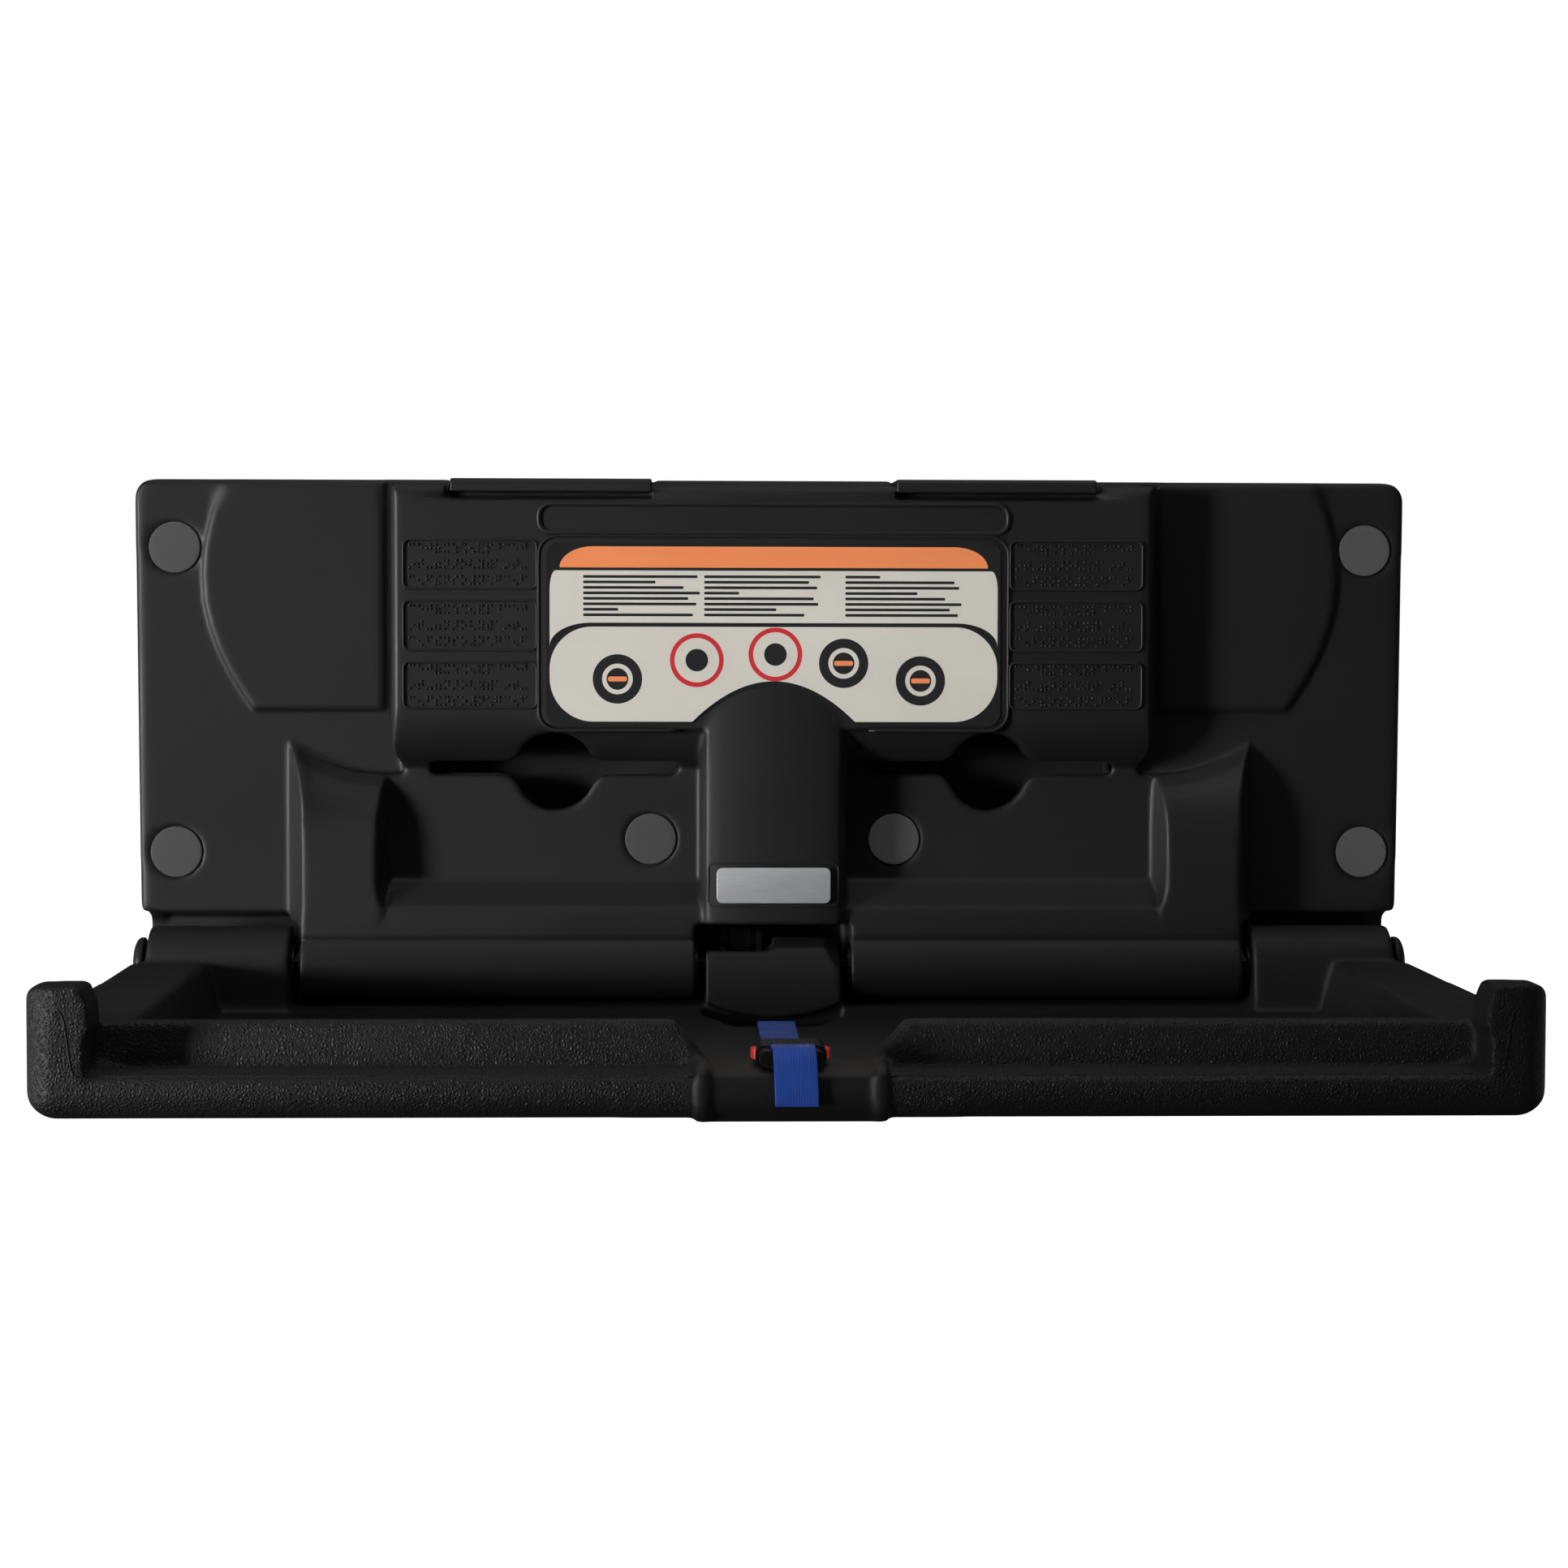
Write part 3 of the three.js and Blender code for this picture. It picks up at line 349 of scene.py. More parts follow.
plateSilver = brushedPlate("plate silver")

webbing = {
    "color": (0.0075, 0.052, 0.31), "half": 12.7, "thick": 1.6, "warp": 0.0016, "weft": 0.0012,
    "relief": 0.00012,          # warp, weft and relief are in m, the rest in mm
    "drift": 0.14, "driftScale": 60, "gloss": (0.34, 0.48), "patchScale": 80,
    "rear": [(140, -46), (140, -38), (143.5, -33), (149, -29.7), (157, -30.2), (185, -31.1), (230, -31.4),
             (300, -30.9), (380, -29.6), (392, -27.2), (398, -20), (403, -15.4), (408, -15)],
    "front": [(442.75, -32), (442.75, -14), (445.75, -8.3), (452, -7.9), (459, -9.5), (462.6, -16),
              (462.9, -28), (463.2, -41.5)],
    "frontLean": (-0.6, 2.6),   # how far across its middle is at its first and last point
}


def wovenNylon(name):
    sheen = {"Specular IOR Level": 0.35, "Sheen Weight": 0.12, "Sheen Roughness": 0.3}
    material = plainMaterial(name, webbing["color"], 0.42, **sheen)
    place = objectPlace(material)
    mottle(material, place, webbing["color"], webbing["drift"], webbing["driftScale"])
    unevenGloss(material, place, *webbing["gloss"], webbing["patchScale"])
    split = addNode(material, "ShaderNodeSeparateXYZ", {"Vector": place})
    along = mathNode(material, "ADD", split.outputs["Y"], split.outputs["Z"])
    across = mathNode(material, "MULTIPLY", split.outputs["X"], 2 * math.pi / webbing["warp"])
    over = mathNode(material, "MULTIPLY", along, 2 * math.pi / webbing["weft"])
    warp = mathNode(material, "SINE", across, 0)
    shifted = mathNode(material, "ADD", over, mathNode(material, "MULTIPLY", across, 0.5))
    weft = mathNode(material, "SINE", shifted, 0)
    weave = mathNode(material, "ADD", mathNode(material, "MULTIPLY", warp, 0.7),
                     mathNode(material, "MULTIPLY", weft, 0.5))
    bumpFrom(material, weave, webbing["relief"], 0.8)
    return material


blueWebbing = wovenNylon("webbing blue")
print("finishes made")


# Mesh helpers

def place(x, p, z):
    return Vector((x * mm, -p * mm, z * mm))


def newPiece(name, points, faces, material, body, smooth=True):
    mesh = bpy.data.meshes.new(name)
    mesh.from_pydata([tuple(point) for point in points], [], faces)
    mesh.validate()
    build = bmesh.new()
    build.from_mesh(mesh)
    bmesh.ops.recalc_face_normals(build, faces=build.faces)
    build.to_mesh(mesh)
    build.free()
    mesh.polygons.foreach_set("use_smooth", [smooth] * len(mesh.polygons))
    mesh.materials.append(material)
    piece = bpy.data.objects.new(name, mesh)
    scene.collection.objects.link(piece)
    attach(piece, body)
    return piece


def settle(piece):
    # the modifiers become the mesh
    bpy.context.view_layer.update()
    graph = bpy.context.evaluated_depsgraph_get()
    finished = bpy.data.meshes.new_from_object(piece.evaluated_get(graph))
    piece.modifiers.clear()
    piece.data = finished


def copyOfNode(name, node, flatAngle=None):
    # the node's solid with its doubled points joined and, where an angle is given, its flat faces too
    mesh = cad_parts[node].data.copy()
    build = bmesh.new()
    build.from_mesh(mesh)
    bmesh.ops.remove_doubles(build, verts=build.verts, dist=1e-6)
    if flatAngle:
        bmesh.ops.dissolve_limit(build, angle_limit=math.radians(flatAngle), verts=build.verts,
                                 edges=build.edges)
    build.to_mesh(mesh)
    build.free()
    mesh.materials.clear()
    piece = bpy.data.objects.new(name, mesh)
    scene.collection.objects.link(piece)
    return piece


def replaceNode(piece, node, body, material):
    piece.data.materials.clear()
    piece.data.materials.append(material)
    piece.data.name = piece.name
    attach(piece, body)
    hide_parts(node)


def moulded(name, node, body, material, skin, rounder=None, shaper=None):
    # a copy of the node's solid with moulded radii on its edges; rounder(x, p, z) gives where they are larger,
    # shaper(x, p, z) gives a point's final place
    piece = copyOfNode(name, node)
    remesh = piece.modifiers.new("skin", "REMESH")
    remesh.mode = "VOXEL"
    remesh.voxel_size = skin["voxel"] * mm
    remesh.use_smooth_shade = True
    soften = piece.modifiers.new("soften", "SMOOTH")
    soften.factor = 0.5
    soften.iterations = skin["soften"]
    if rounder:
        settle(piece)
        group = piece.vertex_groups.new(name="rounder")
        for vertex in piece.data.vertices:
            x, p, z = vertex.co.x / mm, -vertex.co.y / mm, vertex.co.z / mm
            vertex.co = place(*shaper(x, p, z))
            share = rounder(x, p, z)
            if share > 0:
                group.add([vertex.index], share, "REPLACE")
        melt = piece.modifiers.new("melt", "SMOOTH")
        melt.factor = 0.5
        melt.iterations = skin["melt"]
        melt.vertex_group = "rounder"
    thin = piece.modifiers.new("thin", "DECIMATE")
    thin.ratio = skin["keep"]
    settle(piece)
    shading = piece.modifiers.new("shading", "WEIGHTED_NORMAL")
    shading.mode = "FACE_AREA"
    shading.weight = 50
    settle(piece)
    replaceNode(piece, node, body, material)
    print(name, len(piece.data.polygons), "faces")
    return piece


def bevelled(name, node, body, material, width):
    # a copy of the node's solid with small even bevels
    piece = copyOfNode(name, node, 2)
    piece.data.polygons.foreach_set("use_smooth", [True] * len(piece.data.polygons))
    edge = piece.modifiers.new("edge", "BEVEL")
    edge.width = width * mm
    edge.segments = 2
    edge.limit_method = "ANGLE"
    edge.angle_limit = math.radians(30)
    shading = piece.modifiers.new("shading", "WEIGHTED_NORMAL")
    shading.mode = "FACE_AREA"
    settle(piece)
    replaceNode(piece, node, body, material)


def turned(name, profile, origin, axis, steps, material, body):
    # profile points are (radius, height along the axis) from the closed middle outwards
    axis = Vector(axis)
    side = axis.orthogonal().normalized()
    other = axis.cross(side)
    points, faces = [], []
    for radius, height in profile:
        for k in range(steps):
            angle = 2 * math.pi * k / steps
            spoke = side * math.cos(angle) + other * math.sin(angle)
            points.append(Vector(origin) + (axis * height + spoke * radius) * mm)
    for ring in range(len(profile) - 1):
        for k in range(steps):
            a, b = ring * steps + k, ring * steps + (k + 1) % steps
            faces.append((a, b, b + steps, a + steps))
    faces.append(tuple(range(steps)))
    faces.append(tuple((len(profile) - 1) * steps + k for k in range(steps)))
    return newPiece(name, points, faces, material, body)


def roundedLoop(corners, turn=9):
    # (x, z) points of a closed outline whose corners are [x, z, radius]
    loop = []
    for i, (x, z, radius) in enumerate(corners):
        here = Vector((x, z))
        before = (Vector(corners[i - 1][:2]) - here).normalized()
        after = (Vector(corners[(i + 1) % len(corners)][:2]) - here).normalized()
        if radius == 0:
            loop.append((x, z))
            continue
        half = before.angle(after) / 2
        centre = here + (before + after).normalized() * radius / math.sin(half)
        start = here + before * radius / math.tan(half) - centre
        end = here + after * radius / math.tan(half) - centre
        sweep = math.atan2(start.x * end.y - start.y * end.x, start.dot(end))
        steps = max(3, round(abs(math.degrees(sweep)) / turn))
        for k in range(steps + 1):
            angle = sweep * k / steps
            loop.append((centre.x + start.x * math.cos(angle) - start.y * math.sin(angle),
                         centre.y + start.x * math.sin(angle) + start.y * math.cos(angle)))
    return loop


def boxLoop(x0, x1, z0, z1, radius, turn=9):
    return roundedLoop([[x0, z0, radius], [x1, z0, radius], [x1, z1, radius], [x0, z1, radius]], turn)


def centredBox(s):
    return boxLoop(-s["half"], s["half"], s["low"], s["high"], s["corner"])


def quarter(steps):
    return [math.pi / 2 * k / steps for k in range(steps + 1)]


def circleLoop(x, z, radius, steps=48):
    turns = [2 * math.pi * k / steps for k in range(steps)]
    return [(x + radius * math.cos(turn), z + radius * math.sin(turn)) for turn in turns]


def layerMesh(outlines, back, front):
    # flat sheets: each entry is one outer loop, or an outer and an inner loop of equal length
    points, faces = [], []
    for loops in outlines:
        start = len(points)
        count = len(loops[0])
        for loop in loops:
            points += [place(x, back, z) for x, z in loop] + [place(x, front, z) for x, z in loop]
        for n in range(len(loops)):
            base = start + n * 2 * count
            for k in range(count):
                a, b = base + k, base + (k + 1) % count
                faces.append((a, b, b + count, a + count))
        if len(loops) == 1:
            faces += [tuple(range(start, start + count)), tuple(range(start + count, start + 2 * count))]
        else:
            for layer in (0, count):
                for k in range(count):
                    a, b = start + layer + k, start + layer + (k + 1) % count
                    faces.append((a, b, b + 2 * count, a + 2 * count))
    return points, faces


def evenly(loop, spacing, closed=True):
    # the loop's own corners stay; long stretches get points between them
    out = []
    for i, (x, z) in enumerate(loop):
        out.append((x, z))
        if i + 1 == len(loop) and not closed:
            break
        nx, nz = loop[(i + 1) % len(loop)]
        gaps = int(math.hypot(nx - x, nz - z) // spacing)
        out += [(x + (nx - x) * k / (gaps + 1), z + (nz - z) * k / (gaps + 1)) for k in range(1, gaps + 1)]
    return out


def beadMesh(loops, surface, width, proud, closed=True, sink=0.5, facets=6):
    # half-round beads that follow loops on a surface; surface(x, z) gives p
    points, faces = [], []
    for loop in loops:
        start = len(points)
        count = len(loop)
        for i, (x, z) in enumerate(loop):
            ahead = loop[(i + 1) % count] if closed or i + 1 < count else loop[i]
            behind = loop[i - 1] if closed or i > 0 else loop[i]
            along = Vector((ahead[0] - behind[0], ahead[1] - behind[1])).normalized()
            p = surface(x, z)
            for k in range(facets + 1):
                angle = math.pi * k / facets
                out = math.cos(angle) * width / 2
                points.append(place(x - along.y * out, p + math.sin(angle) * proud, z + along.x * out))
            for sign in (-1, 1):
                points.append(place(x - along.y * sign * width / 2, p - sink, z + along.x * sign * width / 2))
        ring = facets + 3
        for i in range(count if closed else count - 1):
            a, b = start + i * ring, start + ((i + 1) % count) * ring
            faces += [(a + k, a + (k + 1) % ring, b + (k + 1) % ring, b + k) for k in range(ring)]
        if not closed:
            last = start + (count - 1) * ring
            faces += [tuple(range(start, start + ring)), tuple(range(last, last + ring))]
    return points, faces


def frontOf(piece):
    # p of the piece's front surface at x, z
    tree = BVHTree.FromObject(piece, bpy.context.evaluated_depsgraph_get())

    def surface(x, z):
        hit = tree.ray_cast(Vector((x * mm, -0.7, z * mm)), Vector((0, 1, 0)))[0]
        return -hit.y / mm

    return surface


# Wall moulding

wallSkin = {"voxel": 1.7, "soften": 5, "melt": 34, "keep": 0.13}
bedSkin = {"voxel": 2.0, "soften": 4, "melt": 26, "keep": 0.2}
smallSkin = {"voxel": 0.9, "soften": 4, "keep": 0.25}

# where each change starts and ends, as a pair of x, p or z; the rest are mm, and shares
wallForm = {
    "rimSide": (424, 430), "rimTop": (316, 321), "rimTopSide": (268, 274), "rimFront": (16, 22),
    "footIn": (263, 266), "footOut": (271, 274), "footLow": (148, 154), "footHigh": (318, 324),
    "footShare": 0.3,
    "underIn": (66, 74), "underOut": (256, 262), "underFront": (60, 66), "underLow": (143, 146),
    "underHigh": (164, 176),
    "stripSide": (328, 333), "stripTop": (31, 34), "stripBack": (4, 8), "stripFront": (26, 30),
    "stripFade": (4, 24), "stripDepth": 17,
    "lipTop": (327.2, 328.2), "lipSide": (222.3, 223.3), "grooveIn": (83.5, 84.5), "grooveOut": (225, 226.5),
    "grooveLow": (322.5, 323.7), "grooveFront": (60, 66), "grooveDepth": 9,
    "endIn": (226, 247), "endTurn": (247, 257), "endFoot": (257.5, 270), "endShifts": (10.5, 4.5, 6),
    "endFront": (43, 46), "endLow": (139, 150),
}


def ramp(value, start, end):
    return max(0.0, min(1.0, (value - start) / (end - start)))


def wallRounder(x, p, z):
    # the panel's rim, the foot of the block beside the raised side fields, and the turn below the block
    side, form = abs(x), wallForm
    rim = max(ramp(side, *form["rimSide"]), ramp(z, *form["rimTop"]) * ramp(side, *form["rimTopSide"]))
    foot = ramp(side, *form["footIn"]) * (1 - ramp(side, *form["footOut"])) * ramp(z, *form["footLow"])
    foot = foot * (1 - ramp(z, *form["footHigh"])) * form["footShare"]
    under = ramp(side, *form["underIn"]) * (1 - ramp(side, *form["underOut"])) * ramp(p, *form["underFront"])
    under = under * ramp(z, *form["underLow"]) * (1 - ramp(z, *form["underHigh"]))
    return max(max(rim, foot) * ramp(p, *form["rimFront"]), under)


def wallShaper(x, p, z):
    side, form = abs(x), wallForm
    # the strip behind the bed's knuckles lies deep
    deep = ramp(side, *form["stripSide"]) * (1 - ramp(z, *form["stripTop"])) * ramp(p, *form["stripBack"])
    deep = deep * (1 - ramp(p, *form["stripFront"]))
    # a groove runs below each lid's lip and up beside it
    groove = 1 - ramp(z, *form["lipTop"]) * (1 - ramp(side, *form["lipSide"]))
    groove *= (ramp(side, *form["grooveIn"]) * (1 - ramp(side, *form["grooveOut"]))
               * ramp(z, *form["grooveLow"]) * ramp(p, *form["grooveFront"]))
    # the block is a little wider than its solid, up to the foot of the side fields
    out, turn, foot = form["endShifts"]
    wide = (out * ramp(side, *form["endIn"]) - turn * ramp(side, *form["endTurn"])
            - foot * ramp(side, *form["endFoot"]))
    wide *= ramp(p, *form["endFront"]) * ramp(z, *form["endLow"])
    p = p - form["stripDepth"] * deep * ramp(p, *form["stripFade"]) - form["grooveDepth"] * groove
    return x + math.copysign(wide, x), p, z


wallFront = moulded("wallMoulding", "wall_shell", "wall_unit", blackWall, wallSkin,
                    wallRounder, wallShaper)
wallFace = frontOf(wallFront)

blankStrip = {"half": 161.4, "low": 299.2, "high": 319.1, "corner": 8.5, "width": 3.6, "proud": 1.7,
              "face": 76.0}
plateRim = {
    "half": 43.9, "low": 42.4, "high": 72.4, "corner": 4.5, "width": 1.5, "proud": 0.9, "spread": 1.02,
    "faceHalf": 45.2, "faceSpread": 1.03, "middle": 57.5, "beside": 2.2,   # where the column's face is met
}


def columnFace(x, z):
    # the column's own face beside the plate's recess
    rim = plateRim
    x = max(-rim["faceHalf"], min(rim["faceHalf"], x * rim["faceSpread"]))
    return wallFace(x, z + (rim["beside"] if z > rim["middle"] else -rim["beside"]))


def addWallBeads(name, loops, surface, rim, closed=True):
    points, faces = beadMesh(loops, surface, rim["width"], rim["proud"], closed)
    newPiece(name, points, faces, blackWall, "wall_unit")


def makeFaceBeads():
    strip, rim = blankStrip, plateRim
    addWallBeads("blankStripBead", [evenly(centredBox(strip), 6)], lambda x, z: strip["face"], strip)
    loop = [(x * rim["spread"], z) for x, z in evenly(centredBox(rim), 3)]
    addWallBeads("plateRimBead", [loop], columnFace, rim)


makeFaceBeads()

tactile = {
    "columns": [(-254.2, -162.8), (162.8, 254.2)],
    "rows": [(260.8, 294.2), (218.6, 252.6), (178.9, 210.4)],
    "corner": 4.2, "width": 1.9, "proud": 1.6,
    "lines": 3, "linePitch": 10.9, "pairPitch": 5.9, "dotPitch": 2.5, "margin": 4.4,
    "dotRadius": 1.05, "dotProud": 1.0, "dotSides": 8,
    "dotRings": [(1.0, -0.4), (1.0, 0.1), (0.72, 0.72)],    # shares of the radius and of the height
    "skip": (0, 3, 4, 6, 9), "cycle": 11, "stride": 5,  # a plain repeating pattern of dots and gaps
}


def dotPlaces(left, right, low, high):
    s = tactile
    pairs = int((right - left - 2 * s["margin"] - s["dotPitch"]) // s["pairPitch"]) + 1
    places, count = [], 0
    for line in range(s["lines"]):
        for pair in range(pairs):
            for column in range(2):
                for row in range(3):
                    count += 1
                    if (count * count + pair * s["stride"]) % s["cycle"] in s["skip"]:
                        continue
                    places.append((left + s["margin"] + pair * s["pairPitch"] + column * s["dotPitch"],
                                   (low + high) / 2 + (1 - line) * s["linePitch"] + (1 - row) * s["dotPitch"]))
    return places


def addDot(points, faces, x, z):
    base, p, sides = len(points), wallFace(x, z), tactile["dotSides"]
    for share, rise in tactile["dotRings"]:
        reach = tactile["dotRadius"] * share
        for k in range(sides):
            angle = 2 * math.pi * k / sides
            points.append(place(x + reach * math.cos(angle), p + rise * tactile["dotProud"],
                                z + reach * math.sin(angle)))
    points.append(place(x, p + tactile["dotProud"], z))
    for low in (base, base + sides):
        faces += [(low + k, low + (k + 1) % sides, low + sides + (k + 1) % sides, low + sides + k)
                  for k in range(sides)]
    top = base + 2 * sides
    faces += [(top + k, top + (k + 1) % sides, top + sides) for k in range(sides)]
    faces.append(tuple(base + k for k in range(sides)))


def makeTactilePanels():
    loops, dots = [], []
    for left, right in tactile["columns"]:
        for low, high in tactile["rows"]:
            loops.append(evenly(boxLoop(left, right, low, high, tactile["corner"]), 6))
            dots += dotPlaces(left, right, low, high)
    addWallBeads("tactileRims", loops, wallFace, tactile)
    points, faces = [], []
    for x, z in dots:
        addDot(points, faces, x, z)
    newPiece("tactileDots", points, faces, blackWall, "wall_unit")


makeTactilePanels()
print("wall moulding dressed")


# Printed panel; its motifs are plain shapes

panelPrint = {
    "back": 76.9, "sheet": 77.35, "field": 77.45, "mark": 77.52, "fieldSink": 0.05, "markSink": 0.03,
    "half": 156.2, "low": 167.0, "high": 292.8, "corner": 9,
    "archHalf": 58.5, "archTop": 194.0, "creamArchHalf": 56.0, "creamArchTop": 197.6,
    "band": {"half": 147.2, "top": 289.9, "low": 275.4, "topHalf": 124},
    "upper": {"half": 154.0, "top": 273.4, "lean": 4.2, "drop": 13.5, "low": 221.5, "step": 237.6,
              "innerHalf": 126},
    "lower": {"half": 154.0, "top": 234.9, "low": 169.7, "cornerTop": 29, "cornerLow": 30},
    "bars": {"left": (-131, -48, 49), "length": 80, "high": 1.9, "pitch": 3.75, "top": 270.2, "corner": 0.6,
             "shares": (0.98, 0.62, 0.86, 1.0, 0.9, 0.97, 0.3, 0.94)},
    "marks": {"discs": [(-107.5, 199), (48, 210), (101, 198)], "disc": 17, "rings": [(-53, 212), (1, 216)],
              "ring": 18.5, "ringWidth": 3.2, "heart": 0.42, "paleOut": 0.62, "paleIn": 0.44, "paleLift": 0.07,
              "warm": (6.5, 1.7, 1.4), "warmLift": 0.12},
}
labelRim = {"half": 161.6, "low": 163.6, "high": 297.0, "corner": 13, "width": 2.4, "proud": 1.3, "face": 76.2,
            "gapHalf": 62, "gapTop": 200}      # the rim stops beside the column's arch


def archOver(half, top, low, steps=28):
    shares = [1 - 2 * k / steps for k in range(steps + 1)]
    return [(half * share, low + (top - low) * (1 - share ** 2)) for share in shares]


def quarterTurn(half, inward, low, high, steps=10):
    # a quarter of an ellipse, from the side at low to the top at high
    return [(half - inward * (1 - math.cos(turn)), low + (high - low) * math.sin(turn))
            for turn in quarter(steps)]


def bothSides(points):
    return points + [(-x, z) for x, z in reversed(points)]


def cutByArch(loop, half, top, low):
    # the loop runs along its lower edge first; the column's arch takes the middle of that edge
    cutAt = next(i for i, (x, z) in enumerate(loop) if x > 0)
    return loop[:cutAt] + archOver(half, top, low)[::-1] + loop[cutAt:]


def printLayer(name, ink, outlines, low, high):
    points, faces = layerMesh(outlines, low, high)
    return newPiece(name, points, faces, inks[ink], "wall_unit", smooth=False)


def makeLabel():
    s = panelPrint
    sheet = cutByArch(centredBox(s), s["archHalf"], s["archTop"], s["low"])
    base = printLayer("labelSheet", "black", [[sheet]], s["back"], s["sheet"])
    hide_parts("label_sheet")

    fieldBack, markBack = s["sheet"] - s["fieldSink"], s["field"] - s["markSink"]
    band = s["band"]
    corner = quarterTurn(band["half"], band["half"] - band["topHalf"], band["low"], band["top"])
    printLayer("labelOrangeBand", "orange", [[bothSides(corner)]], fieldBack, s["field"])

    upper = s["upper"]
    hook = quarterTurn(upper["half"], upper["half"] - upper["innerHalf"], upper["low"], upper["step"])
    shoulder = [(upper["half"] - upper["lean"] * (1 - math.cos(turn)),
                 upper["top"] - upper["drop"] * (1 - math.sin(turn))) for turn in quarter(8)]
    printLayer("labelUpperField", "cream", [[bothSides(hook[::-1] + shoulder)]], fieldBack, s["field"])

    lower = s["lower"]
    field = roundedLoop([[-lower["half"], lower["low"], lower["cornerLow"]],
                         [lower["half"], lower["low"], lower["cornerLow"]],
                         [lower["half"], lower["top"], lower["cornerTop"]],
                         [-lower["half"], lower["top"], lower["cornerTop"]]], turn=6)
    field = cutByArch(field, s["creamArchHalf"], s["creamArchTop"], lower["low"])
    printLayer("labelLowerField", "cream", [[field]], fieldBack, s["field"])

    bars = s["bars"]
    marks = []
    for column, left in enumerate(bars["left"]):
        for row in range(len(bars["shares"])):
            share = bars["shares"][(row + 3 * column) % len(bars["shares"])]
            z = bars["top"] - row * bars["pitch"]
            right = left + bars["length"] * share
            marks.append([boxLoop(left, right, z - bars["high"], z, bars["corner"], turn=30)])
    printLayer("labelBars", "dark", marks, markBack, s["mark"])

    marks = s["marks"]
    disc, ring = marks["disc"], marks["ring"]
    wide, high, corner = marks["warm"]
    discs = [[circleLoop(x, z, disc)] for x, z in marks["discs"]]
    discs += [[circleLoop(x, z, ring * marks["heart"])] for x, z in marks["rings"]]
    rings = [[circleLoop(x, z, ring), circleLoop(x, z, ring - marks["ringWidth"])] for x, z in marks["rings"]]
    pale = [[circleLoop(x, z, disc * marks["paleOut"]), circleLoop(x, z, disc * marks["paleIn"])]
            for x, z in marks["discs"]]
    warm = [[boxLoop(x - wide, x + wide, z - high, z + high, corner, turn=20)] for x, z in marks["discs"]]
    for name, ink, outlines, lift in (
            ("labelDiscs", "dark", discs, 0), ("labelRings", "red", rings, 0),
            ("labelPaleRings", "cream", pale, marks["paleLift"]),
            ("labelWarmBars", "orange", warm, marks["warmLift"])):
        printLayer(name, ink, outlines, markBack + lift, s["mark"] + lift)

    rim = labelRim
    loop = [(x, z) for x, z in evenly(centredBox(rim), 6) if abs(x) > rim["gapHalf"] or z > rim["gapTop"]]
    first = next(i for i, (x, z) in enumerate(loop) if x > 0)
    addWallBeads("labelRimBead", [loop[first:] + loop[:first]], lambda x, z: rim["face"], rim, closed=False)


makeLabel()

plate = {"half": 39.2, "low": 44.8, "high": 69.2, "corner": 4, "back": 81.5, "front": 82.4, "edge": 0.35}


def makeColumnPlate():
    points, faces = layerMesh([[centredBox(plate)]], plate["back"], plate["front"])
    piece = newPiece("columnPlate", points, faces, plateSilver, "wall_unit")
    edge = piece.modifiers.new("edge", "BEVEL")
    edge.width = plate["edge"] * mm
    edge.segments = 2
    settle(piece)
    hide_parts("column_plate")


makeColumnPlate()

caps = {
    "places": {"top": (414.6, 289, 42), "bottom": (414.6, 77.5, 42), "middle": (84.8, 87, 49)},
    "radius": 17.75, "under": -2.7, "chamfer": 0.3, "top": 0.7, "edge": 0.9, "crown": 0.12,
}


def makeScrewCaps():
    radius, top, edge = caps["radius"], caps["top"], caps["edge"]
    under, chamfer = caps["under"], caps["chamfer"]
    profile = [(0.5, under), (radius - chamfer, under), (radius, under + chamfer), (radius, top - edge)]
    profile += [(radius - edge * (1 - math.cos(turn)), top - edge + edge * math.sin(turn))
                for turn in quarter(5)[1:]]
    profile += [(radius * share, top + caps["crown"] * (1 - share ** 2)) for share in (0.7, 0.4, 0.12)]
    for row, (x, z, face) in caps["places"].items():
        for side, sign in (("left", -1), ("right", 1)):
            origin = place(sign * x, face, z)
            cap = turned(f"screwCap_{row}_{side}", profile, origin, (0, -1, 0), 64, capGrey, "wall_unit")
            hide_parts(f"screw_cap_{row}_{side}")


makeScrewCaps()

hingeCap = {
    "start": 434.3, "end": 442, "radius": 19, "bore": 7.3, "boreDepth": 3, "edge": 0.4, "p": 55,
    "dome": (0.35, 0.65), "rise": (0.3, 0.7),       # shares that stay and shares that the curve takes
}


def makeHingeCaps():
    length = hingeCap["end"] - hingeCap["start"]
    radius, bore, edge = hingeCap["radius"], hingeCap["bore"], hingeCap["edge"]
    flat, dome = hingeCap["dome"]
    foot, rise = hingeCap["rise"]
    profile = [(0.4, hingeCap["boreDepth"]), (bore, hingeCap["boreDepth"]), (bore, 0), (radius - edge, 0),
               (radius, edge)]
    profile += [(radius * (flat + dome * math.cos(turn)), length * (foot + rise * math.sin(turn)))
                for turn in quarter(10)]
    profile += [(radius * 0.1, length)]
    for side, sign in (("left", -1), ("right", 1)):
        origin = place(sign * hingeCap["start"], hingeCap["p"], 0)
        cap = turned(f"hingeCap_{side}", profile, origin, (sign, 0, 0), 56, blackWall, "wall_unit")
        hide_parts(f"hinge_cap_{side}")


makeHingeCaps()
for side in ("left", "right"):
    moulded(f"linerLid_{side}", f"lid_{side}", f"lid_{side}_body", blackWall, smallSkin)
print("wall pieces made")


# Bed

